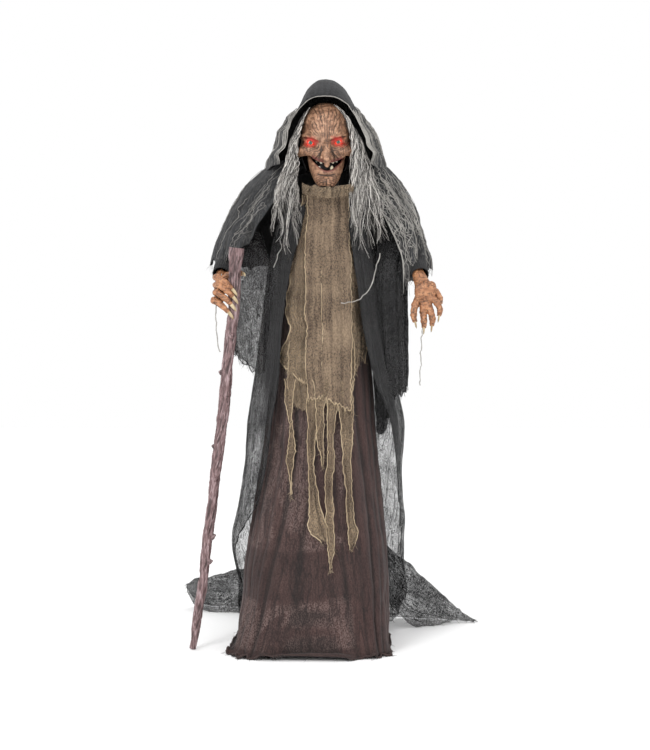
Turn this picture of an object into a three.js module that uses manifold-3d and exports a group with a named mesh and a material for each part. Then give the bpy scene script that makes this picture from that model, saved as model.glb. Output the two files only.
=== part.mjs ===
// Standing animated witch: a steel pole stand, a turning head with a moving jaw,
// two jointed arms, a three-section walking cane and the cloth costume.
// Millimetres, +Z up. The figure faces -Y, and its right hand, with the cane, is at -X.
import * as THREE from 'three';
import { mergeVertices } from 'three/addons/utils/BufferGeometryUtils.js';
import Module from 'manifold-3d';

const wasm = await Module();
wasm.setup();

// ---------- driving dimensions ----------
const TOTAL_HEIGHT = 2134;
const POLE_R = 16;
const POLE_WALL = 1.5;
const SWAGE_R = POLE_R - POLE_WALL - 0.4;
const SWAGE_LENGTH = 80;
const LEG_R = 11;
const LEG_REACH = 240;
const LEG_Z = 18;
const CLOTH = 4;
const GAP = 0.4;
const NECK = new THREE.Vector3(20, -110, 1750);
const SHOULDER_Y = -20;
const SHOULDER_Z = 1690;
const RIGHT_SHOULDER_X = -200;
const LEFT_SHOULDER_X = 232;
const JAW_PIVOT = new THREE.Vector3(20, -125, 1830);
const FACE_X = 15;
const MODULE = 2;
const GEAR_TEETH = 36;
const PINION_TEETH = 12;

// ---------- materials ----------
const material = (color, roughness, metalness = 0) =>
  new THREE.MeshStandardMaterial({ color, roughness, metalness });
const steel = material(0x26262a, 0.45, 0.6);
const zinc = material(0x9a9a98, 0.4, 0.9);
const blackPlastic = material(0x1c1c1e, 0.6);
const rubber = material(0x1a1a1a, 0.85);
const green = material(0x1f4d33, 0.5);
const whitePlastic = material(0xd8d5cc, 0.5);
const skin = material(0xa87a5c, 0.65);
const handSkin = material(0xa2714f, 0.65);
const toothColour = material(0xcfc6a8, 0.35);
const eyeColour = material(0x1d2a1c, 0.15);
const redLens = material(0xd41a10, 0.25);
const caneColour = material(0x756460, 0.7);
const robeCloth = material(0x4a3d3c, 0.9);
const gauzeCloth = material(0x82725f, 0.9);
const cloakCloth = material(0x35333a, 0.9);
const hoodCloth = material(0x46474a, 0.9);
const hairFibre = material(0x8b8884, 0.8);

const part = new THREE.Group();
part.name = 'animated_witch';

function add(name, geometry, mat) {
  const mesh = new THREE.Mesh(geometry, mat);
  mesh.name = name;
  part.add(mesh);
}

// ---------- shape helpers ----------
const V = (x, y, z) => new THREE.Vector3(x, y, z);
const lerp = THREE.MathUtils.lerp;
const rad = THREE.MathUtils.degToRad;

function fromTriangles(points, faces) {
  let volume = 0;
  for (const [a, b, c] of faces) {
    volume += points[a].dot(V(0, 0, 0).crossVectors(points[b], points[c]));
  }
  const index = [];
  for (const [a, b, c] of faces) index.push(...(volume < 0 ? [a, c, b] : [a, b, c]));
  const geometry = new THREE.BufferGeometry();
  const flat = points.flatMap((p) => [p.x, p.y, p.z]);
  geometry.setAttribute('position', new THREE.Float32BufferAttribute(flat, 3));
  geometry.setIndex(index);
  geometry.computeVertexNormals();
  return geometry;
}

// Skins a list of equal rings. A looped skin joins the last ring to the first, like a pipe's wall.
function loft(rings, looped = false) {
  const n = rings[0].length;
  const points = rings.flat();
  const faces = [];
  const last = looped ? rings.length : rings.length - 1;
  for (let i = 0; i < last; i++) {
    const next = (i + 1) % rings.length;
    for (let j = 0; j < n; j++) {
      const k = (j + 1) % n;
      const a = i * n + j;
      const b = i * n + k;
      const c = next * n + k;
      const d = next * n + j;
      faces.push([a, b, c], [a, c, d]);
    }
  }
  if (!looped) {
    for (const [ring, start] of [[rings[0], 0], [rings.at(-1), points.length - n]]) {
      const centre = ring.reduce((sum, p) => sum.add(p), V(0, 0, 0)).divideScalar(n);
      points.push(centre);
      const tip = points.length - 1;
      for (let j = 0; j < n; j++) {
        const k = (j + 1) % n;
        faces.push(start === 0 ? [tip, start + k, start + j] : [tip, start + j, start + k]);
      }
    }
  }
  return fromTriangles(points, faces);
}

// A grid of points (rows of columns) thickened both ways into a closed sheet.
function thickSheet(grid, thickness, wrapped = false) {
  const rows = grid.length;
  const cols = grid[0].length;
  const at = (i, j) => grid[Math.min(Math.max(i, 0), rows - 1)][
    wrapped ? (j + cols) % cols : Math.min(Math.max(j, 0), cols - 1)];
  const sides = [[], []];
  for (let i = 0; i < rows; i++) {
    for (let j = 0; j < cols; j++) {
      const down = at(i + 1, j).clone().sub(at(i - 1, j));
      const across = at(i, j + 1).clone().sub(at(i, j - 1));
      const normal = across.cross(down).normalize();
      sides[0].push(grid[i][j].clone().addScaledVector(normal, thickness / 2));
      sides[1].push(grid[i][j].clone().addScaledVector(normal, -thickness / 2));
    }
  }
  const points = [...sides[0], ...sides[1]];
  const half = rows * cols;
  const faces = [];
  const quad = (a, b, c, d) => faces.push([a, b, c], [a, c, d]);
  const span = wrapped ? cols : cols - 1;
  for (let i = 0; i < rows - 1; i++) {
    for (let j = 0; j < span; j++) {
      const a = i * cols + j;
      const b = i * cols + (j + 1) % cols;
      quad(a, b, b + cols, a + cols);
      quad(a + half, a + cols + half, b + cols + half, b + half);
    }
  }
  for (let j = 0; j < span; j++) {
    const a = j;
    const b = (j + 1) % cols;
    const c = (rows - 1) * cols;
    quad(a + half, b + half, b, a);
    quad(c + a, c + b, c + b + half, c + a + half);
  }
  if (!wrapped) {
    for (let i = 0; i < rows - 1; i++) {
      const a = i * cols;
      const b = (i + 1) * cols;
      quad(a, b, b + half, a + half);
      quad(a + cols - 1 + half, b + cols - 1 + half, b + cols - 1, a + cols - 1);
    }
  }
  return fromTriangles(points, faces);
}

// Rings square to a smooth path. radii is one radius, or one for each path point.
function ringsAlong(path, radii, sides) {
  const rings = [];
  let side = null;
  for (let i = 0; i < path.length; i++) {
    const ahead = path[Math.min(i + 1, path.length - 1)];
    const behind = path[Math.max(i - 1, 0)];
    const along = ahead.clone().sub(behind).normalize();
    if (!side) side = Math.abs(along.z) > 0.9 ? V(1, 0, 0) : V(0, 0, 1);
    side = side.clone().addScaledVector(along, -side.dot(along)).normalize();
    const other = along.clone().cross(side);
    const r = Array.isArray(radii) ? radii[i] : radii;
    const ring = [];
    for (let j = 0; j < sides; j++) {
      const angle = 2 * Math.PI * j / sides;
      ring.push(path[i].clone()
        .addScaledVector(side, r * Math.cos(angle))
        .addScaledVector(other, r * Math.sin(angle)));
    }
    rings.push(ring);
  }
  return rings;
}

const rod = (path, radii, sides = 10) => loft(ringsAlong(path, radii, sides));

function pipe(path, radii, wall, sides = 16) {
  const list = path.map((p, i) => (Array.isArray(radii) ? radii[i] : radii));
  const inner = ringsAlong(path, list.map((r) => r - wall), sides).reverse();
  return loft([...ringsAlong(path, list, sides), ...inner], true);
}

function smooth(points, count) {
  return new THREE.CatmullRomCurve3(points, false, 'centripetal').getPoints(count);
}

const alongX = (x0, x1, y, z) => [V(x0, y, z), V(x1, y, z)];
const alongY = (y0, y1, x, z) => [V(x, y0, z), V(x, y1, z)];
const alongZ = (z0, z1, x, y) => [V(x, y, z0), V(x, y, z1)];

function box(x0, x1, y0, y1, z0, z1) {
  const geometry = new THREE.BoxGeometry(x1 - x0, y1 - y0, z1 - z0);
  return geometry.translate((x0 + x1) / 2, (y0 + y1) / 2, (z0 + z1) / 2);
}

function ball(centre, rx, ry, rz, detail = 12) {
  const geometry = new THREE.SphereGeometry(1, detail, Math.max(6, detail * 2 / 3));
  return geometry.scale(rx, ry, rz).translate(centre.x, centre.y, centre.z);
}

// An ellipse round (cx, cy) at height z. Angle 0 is the back, 180 degrees the front.
function ellipse([z, cx, cy, a, b], count, from = 0, to = 2 * Math.PI * (1 - 1 / count)) {
  const ring = [];
  for (let j = 0; j < count; j++) {
    const angle = lerp(from, to, j / (count - 1));
    ring.push(V(cx + a * Math.sin(angle), cy + b * Math.cos(angle), z));
  }
  return ring;
}

// ---------- solids by boolean ----------
function solid(geometry) {
  const bare = geometry.index ? geometry.toNonIndexed() : geometry.clone();
  bare.deleteAttribute('normal');
  bare.deleteAttribute('uv');
  const merged = mergeVertices(bare, 1e-4);
  return new wasm.Manifold(new wasm.Mesh({
    numProp: 3,
    vertProperties: new Float32Array(merged.attributes.position.array),
    triVerts: new Uint32Array(merged.index.array),
  }));
}

function geometryOf(manifold) {
  const mesh = manifold.getMesh();
  const geometry = new THREE.BufferGeometry();
  geometry.setAttribute('position', new THREE.Float32BufferAttribute(mesh.vertProperties, 3));
  geometry.setIndex(Array.from(mesh.triVerts));
  geometry.computeVertexNormals();
  return geometry;
}

const join = (...list) => geometryOf(list.map(solid).reduce((a, b) => a.add(b)));
const cut = (body, ...tools) =>
  geometryOf(tools.map(solid).reduce((a, b) => a.subtract(b), solid(body)));

// ---------- stand: hub, legs, feet and poles ----------
function baseHub() {
  const profile = [[0, 0], [80, 0], [80, 8], [26, 12], [24, 90], [0, 90]];
  const lathe = new THREE.LatheGeometry(profile.map(([r, z]) => new THREE.Vector2(r, z)), 16);
  lathe.rotateX(Math.PI / 2);
  const sockets = [];
  const bores = [rod(alongZ(12, 100, 0, 0), POLE_R + 1, 16)];
  for (let k = 0; k < 4; k++) {
    const angle = rad(45 + 90 * k);
    const out = (r) => V(r * Math.cos(angle), r * Math.sin(angle), LEG_Z);
    sockets.push(rod([out(22), out(96)], LEG_R + 4, 10));
    bores.push(rod([out(40), out(110)], LEG_R + GAP, 12));
  }
  return cut(join(lathe, ...sockets), ...bores);
}

function legsAndFeet() {
  const names = ['back_left', 'back_right', 'front_right', 'front_left'];
  names.forEach((name, k) => {
    const angle = rad(45 + 90 * k);
    const out = (r) => V(r * Math.cos(angle), r * Math.sin(angle), LEG_Z);
    add(`base_leg_${name}`, pipe([out(41), out(LEG_REACH - 12)], LEG_R, POLE_WALL, 12), steel);
    const cap = rod([out(LEG_REACH - 50), out(LEG_REACH - 4), out(LEG_REACH)], [LEG_Z, LEG_Z, 14], 12);
    const bore = rod([out(LEG_REACH - 60), out(LEG_REACH - 11)], LEG_R + GAP, 12);
    add(`foot_cap_${name}`, cut(cap, bore), rubber);
  });
}

const LOWER_TOP = 640;
const MIDDLE_TOP = 1180;
const SNAP_HOLE_R = 4.2;
const snapHole = (z) => rod(alongY(5, 30, 0, z), SNAP_HOLE_R, 12);

function straightPole(z0, z1) {
  return pipe(alongZ(z0, z1, 0, 0), POLE_R, POLE_WALL, 12);
}

function swagedPath(z, path) {
  const start = [V(0, 0, z - SWAGE_LENGTH), V(0, 0, z + GAP), V(0, 0, z + 2 * GAP)];
  return { path: [...start, ...path], radii: [SWAGE_R, SWAGE_R, ...Array(path.length + 1).fill(POLE_R)] };
}

function poles() {
  const lowSnap = LOWER_TOP - SWAGE_LENGTH / 2;
  const highSnap = MIDDLE_TOP - SWAGE_LENGTH / 2;
  add('lower_pole', cut(straightPole(12.5, LOWER_TOP), snapHole(lowSnap)), steel);
  const middle = swagedPath(LOWER_TOP, [V(0, 0, MIDDLE_TOP)]);
  const middlePipe = pipe(middle.path, middle.radii, POLE_WALL, 12);
  add('middle_pole', cut(middlePipe, snapHole(lowSnap), snapHole(highSnap)), steel);
  const bend = smooth([V(0, 0, 1240), V(1, -4, 1330), V(4, -16, 1440), V(9, -35, 1560),
    V(16, -55, 1650), V(18, -60, 1690)], 8);
  const spine = swagedPath(MIDDLE_TOP, [...bend, V(18, -60, 1716)]);
  add('spine_pole', cut(pipe(spine.path, spine.radii, POLE_WALL, 12), snapHole(highSnap)), steel);
  for (const [name, z] of [['snap_button_lower', lowSnap], ['snap_button_upper', highSnap]]) {
    add(name, rod([V(0, 9, z), V(0, 18.5, z), V(0, 20, z)], [3.8, 3.8, 2.6], 12), zinc);
  }
}

function shoulderBar() {
  const path = smooth([V(RIGHT_SHOULDER_X + 6, SHOULDER_Y, SHOULDER_Z), V(-110, -24, 1684),
    V(17, -31, 1662), V(140, -24, 1684), V(LEFT_SHOULDER_X - 6, SHOULDER_Y, SHOULDER_Z)], 10);
  const discs = [RIGHT_SHOULDER_X, LEFT_SHOULDER_X].map((x) => {
    const inward = Math.sign(-x) * 8;
    return rod(alongX(x, x + inward, SHOULDER_Y, SHOULDER_Z), 20, 20);
  });
  const holes = [RIGHT_SHOULDER_X, LEFT_SHOULDER_X].map((x) =>
    rod(alongX(x - 30, x + 30, SHOULDER_Y, SHOULDER_Z), 4.4, 12));
  const pole = rod([V(18, -60, 1640), V(18, -60, 1720)], POLE_R + GAP, 24);
  return cut(join(rod(path, 9, 8), ...discs), ...holes, pole);
}

function chestHoop() {
  const z = 1430;
  const centre = V(4, -14, z);
  const loop = ellipse([z, 2, -56, 148, 128], 16);
  const rings = loop.map((p, i) => {
    const next = loop[(i + 1) % loop.length];
    const before = loop.at(i - 1);
    const along = next.clone().sub(before).normalize();
    const out = V(along.y, -along.x, 0);
    return [0, 1, 2, 3, 4, 5].map((k) => p.clone()
      .addScaledVector(out, 3 * Math.cos(Math.PI * k / 3))
      .add(V(0, 0, 3 * Math.sin(Math.PI * k / 3))));
  });
  const collar = rod(alongZ(z - 12, z + 12, centre.x, centre.y), 23, 12);
  const spokes = [rod(alongX(-145, 149, -20, z), 3, 8)];
  const bore = rod([V(2, -10, z - 30), V(6, -18, z + 30)], POLE_R + 2, 12);
  return cut(join(loft(rings, true), collar, ...spokes), bore);
}

// ---------- electronics on the spine ----------
function controls() {
  const [x0, x1, y0, y1, z0, z1] = [-50, 50, 18, 56, 1255, 1405];
  const outer = box(x0, x1, y0, y1, z0, z1);
  const inner = box(x0 + 3, x1 - 3, y0 + 3, y1 + 5, z0 + 3, z1 - 3);
  add('control_case', cut(outer, inner), blackPlastic);
  const slot = box(-8, 8, y1 - 5, y1 + 10, 1367, 1373);
  const jackHole = rod(alongY(y1 - 5, y1 + 10, 28, 1285), 5.9, 16);
  const vents = [-1, 0, 1].map((k) => box(-22, 22, y1 - 5, y1 + 10, 1316 + 9 * k, 1320 + 9 * k));
  const cover = box(x0, x1, y1 + GAP, y1 + 3.4, z0, z1);
  add('control_cover', cut(cover, slot, jackHole, ...vents), blackPlastic);
  add('circuit_board', box(-36, 36, y0 + 6, y0 + 7.6, 1268, 1392), green);
  const cone = [V(0, 34, 1320), V(0, 46, 1320), V(0, 52, 1320)];
  add('speaker', rod(cone, [12, 14, 27], 24), blackPlastic);
  add('mode_switch', box(-3, 3, 50, 63, 1367.6, 1372.4), whitePlastic);
  const jack = rod(alongY(44, 61, 28, 1285), 5.5, 16);
  add('dc_jack', cut(jack, rod(alongY(50, 70, 28, 1285), 3, 12)), zinc);
  const clamp = box(-14, 24, -70, -42, 1478, 1502);
  const lens = ball(V(5, -70, 1490), 9, 8, 9, 12);
  add('motion_sensor', join(clamp, lens), blackPlastic);
}

// ---------- neck drive ----------
function gearOutline(teeth, phase) {
  const pitch = MODULE * teeth / 2;
  const steps = [[pitch - 2.4, 2.0], [pitch + 1.5, 0.6]];
  const shape = new THREE.Shape();
  for (let k = 0; k < teeth; k++) {
    const centre = phase + 2 * Math.PI * k / teeth;
    const corners = [...steps.map(([r, w]) => [r, -w]), ...[...steps].reverse()];
    for (const [r, w] of corners) {
      const angle = centre + w / r;
      const point = [r * Math.cos(angle), r * Math.sin(angle)];
      if (shape.curves.length || shape.currentPoint.length()) shape.lineTo(...point);
      else shape.moveTo(...point);
    }
  }
  shape.closePath();
  return shape;
}

function gear(teeth, phase, boreR, x, y, z, height) {
  const shape = gearOutline(teeth, phase);
  shape.holes.push(new THREE.Path().absarc(0, 0, boreR, 0, 2 * Math.PI, true));
  const options = { depth: height, bevelEnabled: false, curveSegments: 6 };
  return new THREE.ExtrudeGeometry(shape, options).translate(x, y, z);
}

const PINION_Y = NECK.y + MODULE * (GEAR_TEETH + PINION_TEETH) / 2;

function neckDrive() {
  const housing = box(-24, 64, -124, -25, 1688, 1744);
  const pole = rod(alongZ(1680, 1716.4, 18, -60), POLE_R + GAP, 24);
  const lift = rod(alongZ(1740, 1783, NECK.x, NECK.y), 6, 24);
  const shaft = rod(alongZ(1740, 1772, NECK.x, PINION_Y), 2.5, 12);
  const channel = box(-60, 100, -34, -8, 1650, 1704);
  add('neck_motor', cut(join(housing, lift, shaft), pole, channel), blackPlastic);
  const halfTooth = Math.PI / GEAR_TEETH;
  const ring = gear(GEAR_TEETH, Math.PI / 2 + halfTooth, 6.3, NECK.x, NECK.y, 1750, 10);
  const boss = cut(rod(alongZ(1759, 1782, NECK.x, NECK.y), 14, 24),
    rod(alongZ(1755, 1790, NECK.x, NECK.y), 6.3, 24));
  add('neck_gear', join(ring, boss), whitePlastic);
  add('neck_pinion', gear(PINION_TEETH, -Math.PI / 2, 2.8, NECK.x, PINION_Y, 1748, 14), whitePlastic);
}

// ---------- head ----------
// Half width and depth of the head at a height, from the head's axis.
const HEAD_PROFILE = [
  [1745, 58, 88], [1775, 68, 98], [1800, 78, 103], [1830, 89, 106], [1852, 94, 106], [1880, 92, 99],
  [1910, 91, 104], [1950, 86, 98], [1988, 74, 84], [2016, 52, 58], [2030, 26, 30],
];
// Reads column k of a table at z, between its rows. The table rises with z.
const between = (table, z, k) => {
  const above = table.findIndex((row) => row[0] > z);
  const i = above < 0 ? table.length - 1 : Math.max(above, 1);
  const t = THREE.MathUtils.clamp((z - table[i - 1][0]) / (table[i][0] - table[i - 1][0]), 0, 1);
  return lerp(table[i - 1][k], table[i][k], t);
};
const bump = (x, z, cx, cz, wx, wz) => Math.exp(-(((x - cx) / wx) ** 2) - ((z - cz) / wz) ** 2);

function faceHeight(x, z) {
  const bridge = 16 * bump(x, z, 20, 1872, 15, 26);
  const ridge = 40 * bump(x, z, 20, 1832, 17, 24);
  const tip = 40 * bump(x, z, 20, 1803, 17, 16);
  const brows = 13 * bump(x, z, -36, 1904, 30, 11) + 13 * bump(x, z, 58, 1904, 30, 11);
  const sockets = 13 * bump(x, z, -41, 1879, 22, 12) + 13 * bump(x, z, 61, 1881, 22, 12);
  const cheeks = 15 * bump(x, z, -48, 1840, 24, 18) + 15 * bump(x, z, 78, 1840, 24, 18);
  return bridge + ridge + tip + brows - sockets + cheeks;
}

function headGrid(rows, cols, z0, z1, from, to, relief) {
  const grid = [];
  for (let i = 0; i < rows; i++) {
    const z = lerp(z0, z1, i / (rows - 1));
    const w = between(HEAD_PROFILE, z, 1);
    const d = between(HEAD_PROFILE, z, 2);
    const row = [];
    for (let j = 0; j < cols; j++) {
      const angle = lerp(from, to, j / (cols - 1));
      const x = FACE_X + w * Math.sin(angle);
      const out = relief ? faceHeight(x, z) * Math.max(Math.cos(angle), 0) : 0;
      row.push(V(x, NECK.y - (d + out) * Math.cos(angle), z));
    }
    grid.push(row);
  }
  return grid;
}

const EYES = { right: V(-41, -180, 1879), left: V(61, -183, 1881) };

function head() {
  const mask = thickSheet(headGrid(15, 15, 1750, 2030, rad(-88), rad(88), true), 3);
  const mouth = ball(V(20, -190, 1812), 68, 70, 13, 10);
  const jawGap = box(-35, 75, -330, -100, 1700, 1810);
  const sockets = Object.values(EYES).map((eye) => ball(eye, 15.8, 15.8, 15.8, 9));
  add('face_mask', cut(mask, mouth, jawGap, ...sockets), skin);
  const skull = thickSheet(headGrid(8, 11, 1786, 2030, rad(91), rad(269), false), 3);
  const plate = box(-22, 62, -150, -26, 1783, 1788);
  add('skull_shell', join(skull, plate), blackPlastic);
  for (const [side, eye] of Object.entries(EYES)) {
    add(`eye_${side}`, ball(eye, 14.6, 14.6, 14.6, 10), eyeColour);
    add(`eye_led_${side}`, rod(alongY(eye.y + 15.6, eye.y + 28, eye.x, eye.z), 4, 12), redLens);
  }
  add('jaw_pin', rod(alongX(-38, 78, JAW_PIVOT.y, JAW_PIVOT.z), 3, 12), zinc);
  const motor = rod(alongX(30, 60, -95, 1812), 11, 16);
  const shaft = rod(alongX(18, 31, -95, 1812), 2.5, 12);
  add('jaw_motor', join(motor, shaft), blackPlastic);
  // The arm reaches as far behind the shaft as in front, so that the crank is balanced.
  const disc = rod(alongX(20, 26, -95, 1812), 9, 16);
  const arm = box(20, 26, -116, -74, 1808, 1816);
  const bore = rod(alongX(10, 40, -95, 1812), 2.8, 12);
  add('jaw_crank', cut(join(disc, arm), bore), whitePlastic);
  add('upper_teeth', teeth(1818, 1806, [-6, 36], -192, 8), toothColour);
}

// A curved gum strip with a few single teeth on it.
function teeth(gumZ, tipZ, places, frontY, gumHalf) {
  const up = Math.sign(gumZ - tipZ);
  const arc = smooth([V(-14, frontY + 18, gumZ), V(20, frontY, gumZ), V(54, frontY + 18, gumZ)], 6);
  const pegs = places.map((x) => {
    const y = frontY + 18 * ((x - 20) / 34) ** 2;
    return rod([V(x, y, gumZ - up * 2), V(x, y - 1, tipZ + up * 3), V(x, y - 1, tipZ)], [5.5, 5, 3], 8);
  });
  return join(rod(arc, gumHalf / 2, 6), ...pegs);
}

// Height, half width, half depth and centre y of the jaw.
const JAW_PROFILE = [
  [1722, 16, 34, -190], [1732, 31, 46, -180], [1748, 40, 60, -164], [1768, 46, 66, -150], [1796, 49, 70, -136],
];

function jaw() {
  const grid = [];
  for (let i = 0; i < 7; i++) {
    const z = lerp(1722, 1796, i / 6);
    const w = between(JAW_PROFILE, z, 1);
    const d = between(JAW_PROFILE, z, 2);
    const cy = between(JAW_PROFILE, z, 3);
    grid.push(Array.from({ length: 12 }, (_, j) => {
      const angle = lerp(rad(-86), rad(86), j / 11);
      return V(NECK.x + w * Math.sin(angle), cy - d * Math.cos(angle), z);
    }));
  }
  const shell = thickSheet(grid, 3);
  const ears = [-29, 69].map((x) => box(x - 2, x + 2, -148, -114, 1785, 1842));
  const pinHole = rod(alongX(-60, 100, JAW_PIVOT.y, JAW_PIVOT.z), 3.4, 12);
  add('jaw_shell', cut(join(shell, ...ears), pinHole), skin);
  add('lower_teeth', teeth(1789, 1800, [2, 42], -190, 7), toothColour);
}

function hood() {
  // Stations from the face opening to the crown and down the back of the head.
  const stations = [
    [-205, 25, 1918, 124, 126], [-190, 25, 1925, 136, 150], [-130, 25, 1935, 148, 186],
    [-60, 25, 1935, 152, 199], [0, 25, 1925, 148, 190], [45, 25, 1900, 128, 150], [70, 25, 1885, 86, 95],
  ];
  const grid = stations.map(([y, cx, cz, a, b]) => Array.from({ length: 13 }, (_, j) => {
    const angle = lerp(rad(-122), rad(122), j / 12);
    const past = Math.max(Math.abs(angle) - Math.PI / 2, 0);
    if (past > 0) return V(cx + a * Math.sign(angle), y, cz - 0.9 * b * past);
    return V(cx + a * Math.sin(angle), y, cz + b * Math.cos(angle));
  }));
  const geometry = thickSheet(grid, CLOTH);
  geometry.computeBoundingBox();
  const lift = TOTAL_HEIGHT - geometry.boundingBox.max.z;
  add('hood', geometry.translate(0, 0, lift), hoodCloth);
}

// A hair lock: a flat bundle that follows a path, wide across X.
function hairLock(name, path, widths) {
  const points = smooth(path, 8);
  const rings = points.map((p, i) => {
    const w = between(widths.map((v, k) => [k, v]), i / 8 * (widths.length - 1), 1);
    return Array.from({ length: 10 }, (_, j) => {
      const angle = 2 * Math.PI * j / 10;
      return p.clone().add(V(w * Math.cos(angle), 13 * Math.sin(angle), 0));
    });
  });
  add(name, loft(rings), hairFibre);
}

function hair() {
  hairLock('hair_right', [V(-72, -165, 1975), V(-80, -180, 1880), V(-92, -216, 1770),
    V(-110, -240, 1640), V(-134, -254, 1410)], [10, 12, 24, 46, 34]);
  hairLock('hair_left', [V(118, -165, 1975), V(127, -180, 1880), V(142, -216, 1770),
    V(158, -240, 1600), V(178, -254, 1345)], [10, 12, 24, 50, 36]);
}

// ---------- arms, hands and cane ----------
const CANE_PATH = [
  V(-311, -230, 1492), V(-320, -229, 1400), V(-323, -227, 1268), V(-333, -226, 1190), V(-346, -224, 1070),
  V(-357, -222, 948), V(-372, -220, 815), V(-390, -219, 690), V(-404, -217, 560), V(-419, -215, 452),
  V(-431, -214, 360), V(-443, -212, 245), V(-459, -211, 150), V(-481, -209, 0),
];
const CANE_R = [28, 23, 20.5, 20.5, 20, 21.5, 20, 19.5, 18.5, 19, 17, 16.5, 17, 11];

// One hollow section of the cane. Its neck slips into the wider end of the one above.
function caneSection(from, to, neck, capped) {
  const curve = new THREE.CatmullRomCurve3(CANE_PATH, false, 'centripetal');
  const count = 8;
  const path = [];
  const radii = [];
  for (let i = 0; i <= count; i++) {
    const t = lerp(from, to, i / count);
    path.push(curve.getPoint(t));
    const k = t * (CANE_R.length - 1);
    radii.push(lerp(CANE_R[Math.floor(k)], CANE_R[Math.ceil(k)], k % 1));
  }
  if (neck) {
    const start = path[0].clone();
    const back = start.clone().sub(path[1]).normalize();
    path.unshift(start.clone().addScaledVector(back, 30), start.clone().addScaledVector(back, -0.1));
    radii.unshift(radii[0] - 6.5, radii[0] - 6.5);
    path[2].addScaledVector(back, -0.6);
  }
  const inner = ringsAlong(path, radii.map((r) => r - 4), 10);
  const outer = ringsAlong(path, radii, 10);
  if (!capped) return loft([...outer, ...inner.reverse()], true);
  // The capped end is solid for a short way, and the bore opens at the other end.
  return cut(loft(outer), loft(capped === 'start' ? inner.slice(2) : inner.slice(0, -2)));
}

function cane() {
  const n = CANE_PATH.length - 1;
  const topSeam = 5 / n;
  const lowSeam = 9 / n;
  add('cane_top', caneSection(0, topSeam, false, 'start'), caneColour);
  add('cane_middle', caneSection(topSeam, lowSeam, true, ''), caneColour);
  const floor = box(-600, -400, -300, -100, -30, 0);
  add('cane_bottom', cut(caneSection(lowSeam, 1, true, 'end'), floor), caneColour);
}

const digit = (path, radii) => rod(smooth(path, 6), Array.from({ length: 7 }, (_, i) =>
  between(radii.map((r, k) => [k, r]), i / 6 * (radii.length - 1), 1)), 6);

function shoulderKnob(x, outward) {
  const [inner, face, grip] = [x - outward * 8, x + outward * 21, x + outward * 34];
  const bolt = rod(alongX(inner, face + outward, SHOULDER_Y, SHOULDER_Z), 4, 12);
  const body = rod(alongX(face, grip, SHOULDER_Y, SHOULDER_Z), 13, 12);
  const wings = box(Math.min(face, grip), Math.max(face, grip), SHOULDER_Y - 22, SHOULDER_Y + 22,
    SHOULDER_Z - 4, SHOULDER_Z + 4);
  return join(bolt, body, wings);
}

function armTube(x, outward, path) {
  const near = x + outward * GAP;
  const disc = rod(alongX(near, near + outward * 8, SHOULDER_Y, SHOULDER_Z), 20, 20);
  const hole = rod(alongX(x - 40, x + 40, SHOULDER_Y, SHOULDER_Z), 4.4, 12);
  const points = smooth([V(near + outward * 8, SHOULDER_Y, SHOULDER_Z - 16), ...path], 12);
  return cut(join(disc, rod(points, 9, 8)), hole);
}

function cuff(from, to) {
  const path = smooth([from, from.clone().lerp(to, 0.5), to], 2);
  const rings = ringsAlong(path, 21, 12);
  return thickSheet(rings, 3, true);
}

// A wide sleeve: stations from the elbow to the mouth, each a tall narrow loop.
function sleeve(stations) {
  const grid = stations.map(([y, topX, topZ, bottomX, bottomZ, topW, bottomW]) =>
    Array.from({ length: 16 }, (_, j) => {
      const angle = 2 * Math.PI * j / 16;
      const down = (1 - Math.cos(angle)) / 2;
      const half = lerp(topW, bottomW, down) * Math.abs(Math.sin(angle)) ** 0.4;
      const x = lerp(topX, bottomX, down ** 1.7) + half * Math.sign(Math.sin(angle));
      return V(x, y, lerp(topZ, bottomZ, down));
    }));
  return thickSheet(grid, CLOTH, true);
}

function rightArm() {
  const wrist = V(-374, -140, 1396);
  const palm = V(-376, -196, 1330);
  add('arm_tube_right', armTube(RIGHT_SHOULDER_X, -1, [V(-240, -12, 1645), V(-300, 20, 1545),
    V(-332, 22, 1500), V(-356, -50, 1450), wrist, V(-376, -168, 1366)]), steel);
  add('shoulder_knob_right', shoulderKnob(RIGHT_SHOULDER_X, -1), blackPlastic);
  add('cuff_right', cuff(V(-366, -84, 1430), V(-373, -134, 1400)), blackPlastic);
  const fingers = [0, 1, 2, 3].map((k) => {
    const z = 1372 - 31 * k;
    return digit([V(-384, -204, z - 6), V(-366, -243, z - 4), V(-330, -262, z),
      V(-300, -252, z + 4), V(-291, -240, z + 5)], [14, 13, 11, 8, 3]);
  });
  const thumb = digit([V(-378, -178, 1372), V(-350, -172, 1394), V(-312, -184, 1404),
    V(-287, -210, 1398), V(-283, -232, 1392)], [14, 13, 11, 9, 3]);
  const hand = join(ball(palm, 22, 30, 58, 8), rod([V(-375, -156, 1384), palm], [19, 24], 12),
    ...fingers, thumb);
  const caneHole = rod([V(-317, -229.5, 1440), V(-323.5, -227, 1225)], 24.5, 20);
  const tubeHole = rod([V(-371, -126, 1405), wrist, V(-377, -173, 1360)], 12.5, 12);
  add('hand_right', cut(hand, caneHole, tubeHole), handSkin);
  add('sleeve_right', sleeve([[-5, -340, 1530, -266, 1120, 36, 14], [-50, -356, 1498, -260, 1010, 38, 14],
    [-90, -366, 1472, -254, 930, 40, 14], [-125, -372, 1452, -250, 904, 44, 12],
    [-150, -375, 1438, -250, 930, 46, 12]]), cloakCloth);
}

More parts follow.
